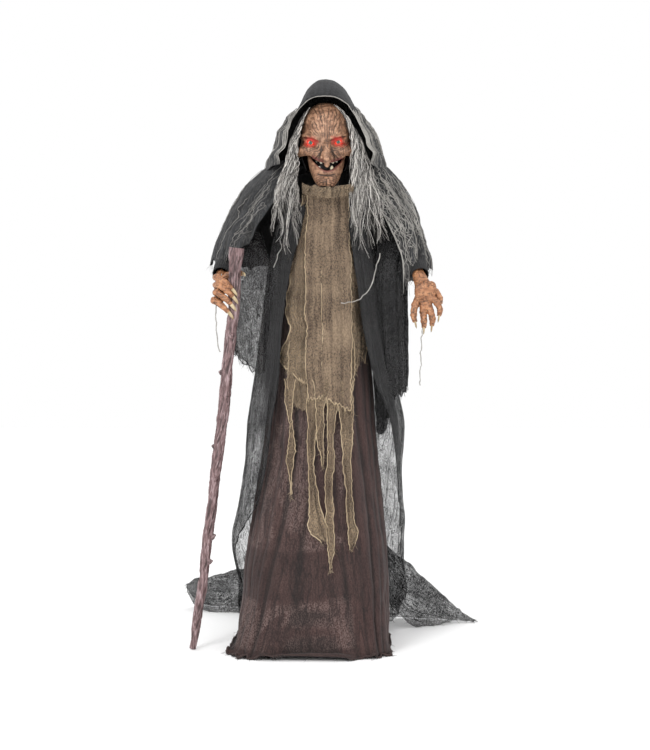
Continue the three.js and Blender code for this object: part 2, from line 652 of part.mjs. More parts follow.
function leftArm() {
  const wrist = V(356, -140, 1408);
  add('arm_tube_left', armTube(LEFT_SHOULDER_X, 1, [V(268, -12, 1645), V(310, 22, 1560),
    V(334, 24, 1520), V(350, -50, 1465), wrist, V(357, -158, 1397)]), steel);
  add('shoulder_knob_left', shoulderKnob(LEFT_SHOULDER_X, 1), blackPlastic);
  add('cuff_left', cuff(V(352, -84, 1444), V(355, -132, 1413)), blackPlastic);
  const palm = V(380, -196, 1322);
  const wristBall = rod([V(358, -166, 1390), palm], [20, 30], 12);
  const fingers = [
    digit([V(364, -198, 1318), V(346, -212, 1285), V(341, -222, 1246), V(349, -216, 1206)], [14, 12, 10, 2.5]),
    digit([V(374, -200, 1290), V(376, -212, 1262), V(379, -222, 1228), V(377, -212, 1184)], [13, 12, 10, 2.5]),
    digit([V(392, -200, 1292), V(400, -214, 1264), V(408, -224, 1234), V(402, -214, 1192)], [13, 12, 10, 2.5]),
    digit([V(404, -198, 1312), V(422, -208, 1296), V(434, -216, 1268), V(428, -208, 1230)], [12, 11, 9, 2.5]),
    digit([V(396, -180, 1330), V(416, -176, 1318), V(428, -180, 1294), V(424, -186, 1264)], [12, 11, 9, 2.5]),
  ];
  const hand = join(ball(palm, 30, 18, 46, 8), wristBall, ...fingers);
  const clear = rod([V(355, -130, 1416), wrist, V(358, -170, 1388)], 12.5, 12);
  add('hand_left', cut(hand, clear), handSkin);
  add('sleeve_left', sleeve([[-5, 342, 1548, 296, 1150, 36, 14], [-50, 350, 1514, 300, 1050, 38, 14],
    [-90, 353, 1490, 306, 970, 40, 14], [-125, 355, 1468, 312, 951, 44, 12],
    [-150, 357, 1452, 318, 975, 46, 12]]), cloakCloth);
}

// ---------- costume ----------
// Each row: height, centre x, centre y, half width, half depth.
const ROBE = [
  [0, -33, -54, 309, 334], [183, -29, -50, 276, 300], [468, -16, -45, 248, 262], [806, -7, -40, 210, 218],
  [1188, 0, -44, 174, 175], [1400, 2, -55, 164, 152], [1540, 6, -60, 150, 122], [1640, 10, -62, 122, 98],
];

function robe() {
  const grid = ROBE.map((row) => ellipse([Math.max(row[0], CLOTH / 2), ...row.slice(1)], 20));
  const shell = thickSheet(grid, CLOTH, true);
  const floor = box(-500, 500, -500, 500, -20, 0);
  add('robe', cut(shell, floor), robeCloth);
}

function frontOfRobe(x, z, away) {
  const cx = between(ROBE, z, 1);
  const cy = between(ROBE, z, 2);
  const a = between(ROBE, z, 3) + away;
  const b = between(ROBE, z, 4) + away;
  return cy - b * Math.sqrt(Math.max(1 - ((x - cx) / a) ** 2, 0.05));
}

function gauzeApron() {
  const outline = [[1690, -52, 84], [1600, -74, 108], [1500, -100, 128], [1350, -128, 148], [1188, -140, 156],
    [1050, -132, 150], [940, -120, 128], [800, -95, 92], [640, -62, 66], [460, -40, 48], [277, -28, 34]];
  const grid = outline.map(([z, x0, x1]) => Array.from({ length: 9 }, (_, j) => {
    const x = lerp(x0, x1, j / 8);
    return V(x, Math.min(frontOfRobe(x, Math.min(z, 1640), 9), -160), z);
  }));
  add('gauze_apron', thickSheet(grid, CLOTH), gauzeCloth);
}

function cloak() {
  const rows = [
    [1640, 10, -58, 150, 118], [1540, 6, -54, 172, 142], [1400, 4, -50, 190, 172], [1188, 2, -44, 198, 196],
    [1000, 0, -40, 202, 218], [890, -5, -38, 232, 232], [468, -12, -42, 290, 280], [70, -14, -50, 332, 340],
  ];
  const grid = rows.map((row) => ellipse(row, 15, rad(-118), rad(118)));
  add('cloak', thickSheet(grid, CLOTH), cloakCloth);
}

// A fold of cloak cloth that lies on the floor.
function tail(name, path, widths, heights) {
  const points = smooth(path, 10);
  const rings = points.map((p, i) => {
    const k = i / 10 * (widths.length - 1);
    const w = between(widths.map((v, n) => [n, v]), k, 1);
    const h = between(heights.map((v, n) => [n, v]), k, 1);
    const ahead = points[Math.min(i + 1, 10)].clone().sub(points[Math.max(i - 1, 0)]).setZ(0).normalize();
    const side = V(-ahead.y, ahead.x, 0);
    const corners = [[-1, 0], [-0.5, 0], [0, 0], [0.5, 0], [1, 0], [0.9, 0.35], [0.5, 0.9], [0, 1], [-0.5, 0.9], [-0.9, 0.35]];
    return corners.map(([u, v]) => V(p.x + side.x * u * w, p.y + side.y * u * w, v * h));
  });
  add(name, loft(rings), cloakCloth);
}

function tails() {
  tail('cloak_tail_left', [V(352, 60, 0), V(430, 110, 0), V(530, 170, 0), V(612, 215, 0)], [52, 66, 44, 8], [62, 34, 22, 6]);
  tail('cloak_tail_right', [V(-372, 150, 0), V(-430, 250, 0), V(-500, 380, 0), V(-585, 520, 0)], [60, 80, 70, 10], [85, 70, 60, 8]);
}

function capelet() {
  // Height, centre x, centre y, half width, half depth, half angle left open at the front.
  const rows = [
    [1812, 20, -10, 176, 136, 44], [1790, 18, -12, 226, 150, 40], [1721, 10, -14, 298, 176, 36],
    [1640, 8, -16, 346, 192, 38], [1566, 4, -20, 372, 204, 40], [1500, 0, -24, 396, 212, 44], [1442, -3, -26, 410, 218, 50],
  ];
  const grid = rows.map(([z, cx, cy, a, b, open]) => {
    const ring = ellipse([z, cx, cy, a, b], 17, rad(open - 180), rad(180 - open));
    // The front edges are cut higher than the sides, where the wrists come out.
    const low = Math.max((1566 - z) / 124, 0);
    return ring.map((p) => {
      const forward = THREE.MathUtils.smoothstep(cy - p.y, -0.1 * b, 0.6 * b);
      return p.add(V(0, 0, 90 * low * forward));
    });
  });
  add('capelet', thickSheet(grid, CLOTH), hoodCloth);
}

add('base_hub', baseHub(), steel);
legsAndFeet();
poles();
add('shoulder_bar', shoulderBar(), steel);
add('chest_hoop', chestHoop(), zinc);
controls();
neckDrive();
head();
jaw();
hood();
hair();
cane();
rightArm();
leftArm();
robe();
gauzeApron();
cloak();
tails();
capelet();

export default part;
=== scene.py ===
import math

import bpy
import numpy as np
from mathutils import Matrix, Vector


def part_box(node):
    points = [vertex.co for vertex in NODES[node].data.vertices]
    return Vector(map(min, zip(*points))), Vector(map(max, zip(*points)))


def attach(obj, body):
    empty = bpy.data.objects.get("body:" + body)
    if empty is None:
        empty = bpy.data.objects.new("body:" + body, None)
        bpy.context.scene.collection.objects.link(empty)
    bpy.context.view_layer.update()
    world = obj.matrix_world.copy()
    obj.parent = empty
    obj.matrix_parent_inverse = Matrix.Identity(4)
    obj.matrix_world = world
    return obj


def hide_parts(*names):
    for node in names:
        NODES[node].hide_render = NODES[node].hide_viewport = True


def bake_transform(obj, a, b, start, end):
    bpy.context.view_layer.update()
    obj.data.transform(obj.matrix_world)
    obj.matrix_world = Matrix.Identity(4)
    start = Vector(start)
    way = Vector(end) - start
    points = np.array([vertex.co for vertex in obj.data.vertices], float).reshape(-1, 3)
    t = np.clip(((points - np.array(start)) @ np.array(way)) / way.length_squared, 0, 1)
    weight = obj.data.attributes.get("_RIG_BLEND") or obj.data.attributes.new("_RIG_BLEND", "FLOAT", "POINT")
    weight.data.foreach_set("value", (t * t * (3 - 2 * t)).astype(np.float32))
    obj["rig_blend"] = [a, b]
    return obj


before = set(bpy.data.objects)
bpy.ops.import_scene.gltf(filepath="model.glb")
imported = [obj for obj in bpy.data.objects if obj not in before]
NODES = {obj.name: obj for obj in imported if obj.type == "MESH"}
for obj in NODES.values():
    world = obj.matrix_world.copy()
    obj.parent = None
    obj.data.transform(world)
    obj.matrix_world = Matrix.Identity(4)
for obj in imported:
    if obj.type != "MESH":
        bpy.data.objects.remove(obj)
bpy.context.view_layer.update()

# Standing animated witch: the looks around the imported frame. Shapes are worked out in
# millimetres in the shared frame and scaled to metres where each mesh is made. Front is -Y.
MM = 0.001
CAMERA_AT = (0.012, -5.5, 1.30)
CAMERA_TILT = 87.02
CAMERA_LENS = 68.8
SENSOR = 36
# Points inside the costume and inside the hood and capelet.
COSTUME_MIDDLE = (10, -50, 900)
HOOD_MIDDLE = (10, -50, 1700)
# Declared flat sizes, width by length, in metres. Other sheets' are given where they are made.
ROBE_FLAT = (1.75, 1.72)
CLOAK_FLAT = (1.35, 1.64)
HOOD_FLAT = (0.72, 0.46)
CAPELET_FLAT = (0.72, 0.46)
CUFF_FLAT = (0.23, 0.16)
RUFFLE_FLAT = (0.22, 0.07)
LINING_FLAT = (0.14, 0.055)


def middle_of(node):
    low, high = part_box(node)
    return np.array((low + high) / 2) / MM


# ---------- camera, light and floor ----------
def place(obj, location=(0, 0, 0), rotation=(0, 0, 0)):
    bpy.context.scene.collection.objects.link(obj)
    obj.location = location
    obj.rotation_euler = [math.radians(angle) for angle in rotation]
    return obj


def camera():
    data = bpy.data.cameras.new("camera")
    data.sensor_width = SENSOR
    data.lens = CAMERA_LENS
    obj = place(bpy.data.objects.new("camera", data), CAMERA_AT, (CAMERA_TILT, 0, 0))
    bpy.context.scene.camera = obj


def area_light(name, location, rotation, size, power):
    data = bpy.data.lights.new(name, "AREA")
    data.size = size
    data.energy = power
    place(bpy.data.objects.new(name, data), location, rotation)


def studio():
    world = bpy.data.worlds.new("studio")
    bpy.context.scene.world = world
    world.use_nodes = True
    background = world.node_tree.nodes["Background"]
    background.inputs["Color"].default_value = (1, 1, 1, 1)
    background.inputs["Strength"].default_value = 1.0
    area_light("key", (-2.2, -3.6, 3.4), (52, 0, -32), 1.4, 95)
    area_light("fill", (2.6, -3.2, 2.0), (68, 0, 40), 2.0, 30)
    sky = bpy.data.lights.new("sky", "SUN")
    sky.energy = 0.55
    sky.angle = math.radians(120)
    place(bpy.data.objects.new("sky", sky), (0, 0, 4))
    bpy.context.scene.view_settings.view_transform = "Standard"


# ---------- numbers on surfaces ----------
def hashed(cell, seed):
    h = (cell[..., 0] * 73856093) ^ (cell[..., 1] * 19349663) ^ (cell[..., 2] * 83492791) ^ (seed * 40503)
    h = ((h ^ (h >> 13)) * 1274126177) & 0xFFFFFFFF
    return ((h ^ (h >> 16)) & 0xFFFF) / 32767.5 - 1


def noise(p, size, seed=0):
    """Smooth noise from -1 to 1, in lumps about size across."""
    q = np.asarray(p, float) / size
    cell = np.floor(q).astype(np.int64)
    f = q - cell
    f = f * f * (3 - 2 * f)
    total = np.zeros(q.shape[:-1])
    for corner in np.ndindex(2, 2, 2):
        weight = np.prod(np.where(np.array(corner, bool), f, 1 - f), -1)
        total += weight * hashed(cell + np.array(corner), seed)
    return total


def rough(p, size, seed=0, octaves=3):
    size = np.asarray(size, float)
    return sum(noise(p, size / 2 ** k, seed + k) / 2 ** k for k in range(octaves))


def step(x, a, b):
    t = np.clip((x - a) / (b - a), 0, 1)
    return t * t * (3 - 2 * t)


def mix(a, b, t):
    return a + (b - a) * t


def at(x, y=0.0, z=0.0):
    """Points from their coordinates, which may be rows, columns or single numbers."""
    return np.stack(np.broadcast_arrays(x, y, z), -1)


def top_to_bottom(rows):
    """A column from 0 at a sheet's first row to 1 at its last."""
    return np.linspace(0, 1, rows)[:, None]


def once_round(cols):
    """A row of angles once round."""
    return 2 * np.pi * np.arange(cols)[None] / cols


def unit(vectors):
    return vectors / np.linalg.norm(vectors, axis=-1, keepdims=True)


def shake(points, size, seed):
    """Three noises at once, to bend a thread sideways."""
    return np.stack([noise(points, size, seed + k) for k in range(3)], -1)


def wall(plan, fold, angle, z):
    """A garment's wall round a plan of centre x, centre y, half width and half depth. Angle 0 is
    the back."""
    cx, cy, a, b = plan
    return at(cx + (a + fold) * np.sin(angle), cy + (b + fold) * np.cos(angle), z)


def hill(x, z, cx, cz, wx, wz):
    return np.exp(-((x - cx) / wx) ** 2 - ((z - cz) / wz) ** 2)


def spline(rows, count):
    """count rows on a smooth curve through the given ones."""
    r = np.asarray(rows, float)
    r = np.concatenate([2 * r[:1] - r[1:2], r, 2 * r[-1:] - r[-2:-1]])
    t = np.linspace(0, len(r) - 3, count)
    i = np.minimum(t.astype(int), len(r) - 4)
    f = (t - i).reshape((-1,) + (1,) * (r.ndim - 1))
    a, b, c, d = r[i], r[i + 1], r[i + 2], r[i + 3]
    return 0.5 * (2 * b + (c - a) * f + (2 * a - 5 * b + 4 * c - d) * f ** 2
                  + (3 * b - a - 3 * c + d) * f ** 3)


def reader(rows):
    """A function that reads every column but the first of a table, at values of the first column."""
    table = spline(rows, 300)
    table = table[np.argsort(table[:, 0])]
    return lambda z: [np.interp(z, table[:, 0], column) for column in table.T[1:]]


# ---------- meshes ----------
def build(name, points, faces, materials, corner_uv=None):
    mesh = bpy.data.meshes.new(name)
    mesh.from_pydata((np.asarray(points).reshape(-1, 3) * MM).tolist(), [], faces, shade_flat=False)
    if corner_uv is not None:
        mesh.uv_layers.new(name="flat").data.foreach_set("uv", np.asarray(corner_uv, np.float32).ravel())
    for material in materials:
        mesh.materials.append(material)
    return place(bpy.data.objects.new(name, mesh))


def applied(obj):
    """Bakes the modifiers of obj into its mesh."""
    shaped = obj.evaluated_get(bpy.context.evaluated_depsgraph_get())
    mesh = bpy.data.meshes.new_from_object(shaped)
    obj.modifiers.clear()
    obj.data = mesh
    return obj


def modify(obj, kind, **settings):
    modifier = obj.modifiers.new(kind.lower(), kind)
    for key, value in settings.items():
        setattr(modifier, key, value)
    return obj


def points_of(obj):
    flat = np.zeros(len(obj.data.vertices) * 3, np.float32)
    obj.data.vertices.foreach_get("co", flat)
    return flat.reshape(-1, 3).astype(float) / MM


def set_points(obj, points):
    obj.data.vertices.foreach_set("co", (points * MM).astype(np.float32).ravel())
    obj.data.update()


def normals_of(obj):
    flat = np.zeros(len(obj.data.vertices) * 3, np.float32)
    obj.data.vertex_normals.foreach_get("vector", flat)
    return flat.reshape(-1, 3).astype(float)


def set_attribute(obj, name, values):
    attribute = obj.data.attributes.get(name) or obj.data.attributes.new(name, "FLOAT", "POINT")
    attribute.data.foreach_set("value", np.asarray(values, np.float32))


def grid_faces(rows, cols, wrapped=False):
    i, j = np.meshgrid(np.arange(rows - 1), np.arange(cols if wrapped else cols - 1), indexing="ij")
    k = (j + 1) % cols
    return np.stack([i * cols + j, i * cols + k, (i + 1) * cols + k, (i + 1) * cols + j], -1).reshape(-1, 4)


def capped_faces(rows, cols):
    """The faces of a closed tube or ball."""
    faces = grid_faces(rows, cols, wrapped=True).tolist()
    return faces + [list(range(cols))[::-1], list(range((rows - 1) * cols, rows * cols))]


def hollows(grid, wrapped, centre, reach=16.0, depth=3.5):
    """From 0 on open cloth to 1 deep in a fold: how far a point lies behind those reach mm to
    each side of it."""
    cols = grid.shape[1]
    pitch = np.linalg.norm(np.diff(grid, axis=1), axis=-1).mean()
    steps = max(1, int(round(reach / pitch)))
    ahead, behind = np.arange(cols) + steps, np.arange(cols) - steps
    if wrapped:
        ahead, behind = ahead % cols, behind % cols
    else:
        ahead, behind = np.minimum(ahead, cols - 1), np.maximum(behind, 0)
    out = surface_normals(grid)
    out = out * np.sign((out * (grid - centre)).sum(-1).mean())
    deep = (((grid[:, ahead] + grid[:, behind]) / 2 - grid) * out).sum(-1)
    if not wrapped:
        deep[:, :steps] = deep[:, -steps:] = 0
    return np.clip(deep / depth, 0, 1)


def surface_normals(grid):
    out = np.cross(np.gradient(grid, axis=1), np.gradient(grid, axis=0))
    return out / np.maximum(np.linalg.norm(out, axis=-1, keepdims=True), 1e-9)


def cloth(name, grid, flat, materials, wrapped=False, keep=None, thick=1.2, centre=COSTUME_MIDDLE, web=None,
          dense=None):
    """A thin sheet on a grid of points. flat is its declared flat size in metres, and its UVs are
    metres on that flat cloth. A second material is the lining. centre is a point inside."""
    rows, cols = grid.shape[:2]
    # The shade attribute is painted shade: fabric() darkens the cloth by it deep in its folds.
    paints = {"shade": hollows(grid, wrapped, np.array(centre, float)).ravel()}
    for key, share in (("web", web), ("dense", dense)):
        if share is not None:
            paints[key] = np.broadcast_to(share, (rows, cols)).ravel()
    faces = grid_faces(rows, cols, wrapped)
    spans = cols if wrapped else cols - 1
    u, v = np.meshgrid(np.arange(spans + 1) / spans * flat[0], np.arange(rows) / (rows - 1) * flat[1])
    uv = np.stack([u, v], -1)
    corners = np.stack([uv[:-1, :-1], uv[:-1, 1:], uv[1:, 1:], uv[1:, :-1]], 2).reshape(-1, 4, 2)
    if keep is not None:
        faces, corners = faces[keep.ravel()], corners[keep.ravel()]
        used, faces = np.unique(faces, return_inverse=True)
        faces = faces.reshape(-1, 4)
        grid = grid.reshape(-1, 3)[used]
        paints = {key: values[used] for key, values in paints.items()}
    obj = build(name, grid, faces.tolist(), materials, corners)
    for key, values in paints.items():
        set_attribute(obj, key, values)
    modify(obj, "SOLIDIFY", thickness=thick * MM, offset=0, material_offset=len(materials) - 1)
    return applied(obj)


def tubes(name, paths, radii, materials, sides=5, squash=1.0):
    """Closed tubes along many paths of the same number of points."""
    paths = np.asarray(paths, float)
    count, length = paths.shape[:2]
    radii = np.broadcast_to(radii, (count, length))
    along = np.gradient(paths, axis=1)
    along /= np.maximum(np.linalg.norm(along, axis=-1, keepdims=True), 1e-9)
    least = np.abs(along).mean(1).argmin(-1)
    side = unit(np.cross(along, np.eye(3)[least][:, None]))
    other = np.cross(along, side) * squash
    angle = 2 * np.pi * np.arange(sides) / sides
    ring = side[:, :, None] * np.cos(angle)[:, None] + other[:, :, None] * np.sin(angle)[:, None]
    points = paths[:, :, None] + ring * radii[:, :, None, None]
    starts = range(0, count * length * sides, length * sides)
    faces = [[v + start for v in face] for start in starts for face in capped_faces(length, sides)]
    return build(name, points, faces, materials)


def merged(name, parts, voxel, materials, rounds=2):
    """Joins overlapping closed shapes into one skin."""
    points, faces, start = [], [], 0
    for obj in parts:
        points.append(points_of(obj))
        faces.extend([[v + start for v in polygon.vertices] for polygon in obj.data.polygons])
        start += len(points[-1])
        bpy.data.objects.remove(obj)
    obj = build(name, np.concatenate(points), faces, materials)
    modify(obj, "REMESH", mode="VOXEL", voxel_size=voxel * MM, use_smooth_shade=True)
    modify(obj, "SMOOTH", factor=0.5, iterations=rounds)
    return applied(obj)


def ball(name, centre, radii, materials=(), rings=24):
    """An ellipsoid."""
    polar = np.linspace(0.001, np.pi - 0.001, rings)[:, None]
    turn = 2 * np.pi * np.arange(rings * 2) / (rings * 2)
    sphere = at(np.sin(polar) * np.cos(turn), np.sin(polar) * np.sin(turn), np.cos(polar))
    points = sphere * np.asarray(radii, float) + np.asarray(centre, float)
    return build(name, points, capped_faces(rings, rings * 2), materials)


def tube(name, path, radii, materials=(), count=30, sides=14, squash=1.0):
    """One smooth tube through a few points."""
    path = spline(path, count)
    radii = spline(np.asarray(radii, float)[:, None], count)[:, 0]
    return tubes(name, path[None], radii[None], materials, sides, squash)


def belongs(obj, slot, body=None, nodes=()):
    if body:
        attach(obj, body)
    if nodes:
        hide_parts(*nodes)


# ---------- materials ----------
def rgb(red, green, blue):
    """A colour as the eye sees it, from 0 to 255, in the shader's linear terms."""
    return tuple((c / 255 / 12.92) if c < 11 else ((c / 255 + 0.055) / 1.055) ** 2.4
                 for c in (red, green, blue)) + (1.0,)


def dim(colour, share):
    return tuple(c * share for c in colour[:3]) + (1.0,)


class Look:
    """A material being made: one Principled shader and what feeds it."""

    def __init__(self, name, **constants):
        self.material = bpy.data.materials.new(name)
        self.material.use_nodes = True
        self.tree = self.material.node_tree
        self.shader = self.tree.nodes["Principled BSDF"]
        self.place = self.tree.nodes.new("ShaderNodeTexCoord")
        self.feed(**constants)

    def feed(self, **inputs):
        for key, value in inputs.items():
            self.plug(self.shader.inputs[key.replace("_", " ")], value)
        return self.material

    def plug(self, socket, value):
        if isinstance(value, bpy.types.NodeSocket):
            self.tree.links.new(value, socket)
        else:
            socket.default_value = value

    def add(self, kind, inputs, **settings):
        node = self.tree.nodes.new("ShaderNode" + kind)
        for key, value in settings.items():
            setattr(node, key, value)
        for key, value in inputs.items():
            self.plug(node.inputs[key], value)
        return node

    def spots(self, size, coords="Object", detail=3, bend=0.0):
        """Noise in lumps of size metres, one number or three."""
        size = np.broadcast_to(size, 3)
        scaled = self.add("Mapping", {"Vector": self.place.outputs[coords], "Scale": tuple(1 / size)})
        made = self.add("TexNoise", {"Vector": scaled.outputs[0], "Scale": 1.0, "Detail": float(detail),
                                     "Distortion": bend})
        return made.outputs["Fac"]

    def lines(self, size, coords="Object", detail=3, bend=0.0):
        """Thin wandering lines, where the number is near 0."""
        spots = self.spots(size, coords, detail, bend)
        return self.sum("ABSOLUTE", self.sum("SUBTRACT", spots, 0.5), 0.0)

    def threads(self, pitch):
        """Warp and weft, from 0 between the threads to 1 on them."""
        waves = []
        for axis in "XY":
            scaled = self.add("Mapping", {"Vector": self.place.outputs["UV"], "Scale": (1 / pitch,) * 3})
            wave = self.add("TexWave", {"Vector": scaled.outputs[0], "Scale": 0.314, "Distortion": 1.5,
                                        "Detail": 1.0, "Detail Scale": 0.15}, bands_direction=axis)
            waves.append(wave.outputs["Fac"])
        return self.sum("MAXIMUM", *waves)

    def sum(self, operation, a, b, c=0.0):
        node = self.add("Math", {0: a, 1: b}, operation=operation)
        if operation == "MULTIPLY_ADD":
            self.plug(node.inputs[2], c)
        return node.outputs[0]

    def ramp(self, value, *stops):
        node = self.add("ValToRGB", {"Fac": value})
        elements = node.color_ramp.elements
        for k, (stop, colour) in enumerate(stops):
            element = elements[k] if k < 2 else elements.new(stop)
            element.position = stop
            element.color = colour if isinstance(colour, tuple) else (colour, colour, colour, 1)
        return node.outputs["Color"]

    def blend(self, amount, a, b, how="MIX"):
        node = self.add("Mix", {}, data_type="RGBA", blend_type=how, clamp_factor=True)
        self.plug(node.inputs["Factor"], amount)
        self.plug(node.inputs[6], a)
        self.plug(node.inputs[7], b)
        return node.outputs[2]

    def height(self):
        split = self.add("SeparateXYZ", {"Vector": self.place.outputs["Object"]})
        return split.outputs["Z"]

    def painted(self, name):
        return self.add("Attribute", {}, attribute_name=name).outputs["Fac"]

    def bump(self, height, distance, strength=1.0):
        node = self.add("Bump", {"Height": height, "Distance": distance, "Strength": strength})
        return node.outputs["Normal"]


def fabric(name, dark, light, crinkle=0.007, pitch=0.003, see=None, heights=None, web=None,
           sheen=0.05, fold_shade=0.3, flecks=None, crease_shade=0.0, weave_gap=0.55, thinning=None,
           crinkle_lines=0.9, pleat_shade=0.0, grain=0.35, fine=0.0055):
    """Crinkled open-weave cloth. see is how solid it is in its thin and its thick places, heights
    a ramp over height that darkens it, web the colour of the shredded threads painted on it,
    flecks the colour that shows through the weave in patches. The fold, crease and pleat settings
    are painted shade: how dark the cloth is deep in its folds, along wandering crease lines and
    along long fold lines."""
    look = Look(name, Sheen_Weight=sheen, Sheen_Roughness=0.6)
    blotches = look.spots(0.12, detail=4)
    crinkles = look.spots((crinkle, crinkle, crinkle * 1.6), detail=5, bend=0.4)
    runs = look.spots((0.014, 0.3, 1), "UV", detail=4, bend=0.3)
    speckle = look.spots((fine, fine, fine * 1.6), detail=2)
    threads = look.threads(pitch)
    tone = look.sum("MULTIPLY_ADD", blotches, 0.35,
                    look.sum("MULTIPLY_ADD", crinkles, 0.25, look.sum("MULTIPLY", runs, 0.4)))
    colour = look.ramp(tone, (0.4, dark), (0.6, light))
    if flecks:
        patches = look.spots((0.12, 0.2, 1), "UV", detail=4, bend=1.2)
        share = look.sum("MULTIPLY", look.ramp(speckle, (0.42, 0.0), (0.58, 0.7)),
                         look.ramp(patches, (0.45, 0.15), (0.53, 0.8)))
        share = look.sum("MULTIPLY", share, look.sum("SUBTRACT", 1.0, look.painted("dense")))
        colour = look.blend(share, colour, flecks)
    if crease_shade:
        # Painted shade: the cloth is darker along wandering crease lines.
        folds = look.lines((0.035, 0.035, 0.3), detail=4, bend=0.5)
        colour = look.blend(look.ramp(folds, (0.0, crease_shade), (0.03, 0.0)), colour, dim(dark, 0.4))
    colour = look.blend(1.0, colour, look.ramp(speckle, (0.4, 1 - grain), (0.6, 1.0)), "MULTIPLY")
    line_share = 0.0
    if pleat_shade:
        # Painted shade: long dark fold lines down the cloth; on sheer cloth the same lines are also made
        # more solid.
        lines = look.lines((0.02, 0.4, 1), "UV", detail=5, bend=0.6)
        line_share = look.ramp(lines, (0.0, pleat_shade), (0.02, 0.0))
        colour = look.blend(line_share, colour, dim(dark, 0.5))
    if heights:
        colour = look.blend(1.0, colour, look.ramp(look.height(), *heights), "MULTIPLY")
    colour = look.blend(look.ramp(threads, (0.15, 0.3), (0.5, 0.0)), colour, dim(dark, 0.3))
    # Painted shade: the cloth is darkened deep in its folds, by the shade attribute that cloth() paints.
    colour = look.blend(1.0, colour, look.ramp(look.painted("shade"), (0.0, 1.0), (1.0, fold_shade)),
                        "MULTIPLY")
    if web:
        veins = look.lines((0.011, 0.011, 0.1), bend=0.4)
        share = look.sum("MULTIPLY", look.ramp(veins, (0.006, 1.0), (0.03, 0.0)), look.painted("web"))
        colour = look.blend(share, colour, web)
    relief = look.sum("MULTIPLY_ADD", crinkles, 3.0, look.sum("MULTIPLY", threads, 0.4))
    look.feed(Base_Color=colour, Normal=look.bump(relief, 0.001, 0.5),
              Roughness=look.ramp(crinkles, (0.3, 0.98), (0.7, 0.84)))
    if see:
        solid = look.ramp(look.sum("MULTIPLY_ADD", blotches, 0.8, look.sum("MULTIPLY", crinkles, 0.2)),
                          (0.42, see[0]), (0.58, see[1]))
        if thinning:
            solid = look.sum("MULTIPLY", solid, look.ramp(look.height(), *thinning))
        open_weave = look.ramp(speckle, (0.4, weave_gap), (0.55, 1.0))
        lines = look.lines((0.028, 0.028, 0.055), bend=0.8)
        drawn = look.sum("MAXIMUM", look.ramp(lines, (0.0, crinkle_lines), (0.022, 0.0)), line_share)
        drawn = look.sum("MAXIMUM", drawn, look.sum("MULTIPLY", look.painted("dense"), 0.85))
        look.feed(Alpha=look.sum("MAXIMUM", look.sum("MULTIPLY", solid, open_weave), drawn))
    return look.material


def skin(name, base, crease, flush, shine):
    """Painted latex: a brown wash lies in the creases and the high places are rubbed paler."""
    look = Look(name, Coat_Weight=0.06, Coat_Roughness=0.35, Subsurface_Weight=0.05,
                Subsurface_Radius=(0.004, 0.0015, 0.001), Subsurface_Scale=1.0)
    tone = look.spots(0.018, detail=5)
    colour = look.ramp(tone, (0.35, crease), (0.55, base), (0.72, flush))
    # The wash is the brown paint in the creases; on the face it also holds painted shade under the brows and
    # round the eyes.
    wash = look.ramp(look.painted("wash"), (0.0, 0.0), (1.0, 0.95))
    colour = look.blend(wash, colour, dim(crease, 0.22))
    pores = look.spots(0.0022, detail=4)
    look.feed(Roughness=look.ramp(tone, (0.3, shine + 0.12), (0.7, shine)),
              Normal=look.bump(pores, 0.0012, 0.6))
    colour = look.blend(look.sum("MULTIPLY", look.painted("lip"), 0.85), colour, rgb(96, 34, 34))
    glow = look.painted("glow")
    colour = look.blend(look.sum("MULTIPLY", glow, 0.8), colour, rgb(176, 34, 26))
    look.feed(Base_Color=colour, Emission_Color=rgb(255, 40, 24),
              Emission_Strength=look.sum("MULTIPLY", glow, 0.12))
    return look.material


def hard(name, dark, light, roughness, metal=0.0, grain=0.004, relief=0.0004):
    """Moulded plastic, rubber or painted metal with scuffs and a fine grain."""
    look = Look(name, Metallic=metal)
    scuffs = look.spots((0.02, 0.02, 0.06), detail=5)
    fine = look.spots(grain, detail=2)
    look.feed(Base_Color=look.ramp(scuffs, (0.35, dark), (0.7, light)),
              Roughness=look.ramp(scuffs, (0.3, roughness), (0.7, min(roughness + 0.2, 1.0))),
              Normal=look.bump(fine, relief, 0.5))
    return look.material


def hair_look():
    look = Look("hair", Sheen_Weight=0.1, Sheen_Roughness=0.4)
    strand = look.spots((0.004, 0.004, 0.12), detail=3)
    tone = look.sum("MULTIPLY_ADD", strand, 0.35, look.sum("MULTIPLY", look.painted("tone"), 0.65))
    colour = look.ramp(tone, (0.2, rgb(34, 31, 30)), (0.42, rgb(104, 100, 96)), (0.62, rgb(186, 181, 174)),
                       (0.8, rgb(236, 232, 226)))
    look.feed(Base_Color=colour, Roughness=look.ramp(strand, (0.3, 0.5), (0.7, 0.7)),
              Normal=look.bump(strand, 0.0006, 0.5))
    return look.material


def eye_look():
    look = Look("eye", Coat_Weight=0.8, Coat_Roughness=0.05)
    ring = look.painted("ring")
    veins = look.spots(0.004, detail=5, bend=1.5)
    red = look.ramp(veins, (0.35, rgb(150, 12, 8)), (0.7, rgb(255, 96, 60)))
    centre = look.ramp(ring, (0.0, rgb(12, 40, 34)), (0.2, rgb(22, 66, 56)), (0.3, rgb(60, 116, 98)),
                       (0.42, rgb(24, 44, 38)), (0.5, rgb(214, 176, 160)), (0.6, rgb(240, 110, 90)))
    outer = look.ramp(ring, (0.52, 0.0), (0.66, 1.0))
    look.feed(Base_Color=look.blend(outer, centre, red),
              Roughness=look.ramp(veins, (0.3, 0.12), (0.8, 0.3)), Emission_Color=rgb(255, 32, 16),
              Emission_Strength=look.sum("MULTIPLY", outer, 0.8))
    return look.material


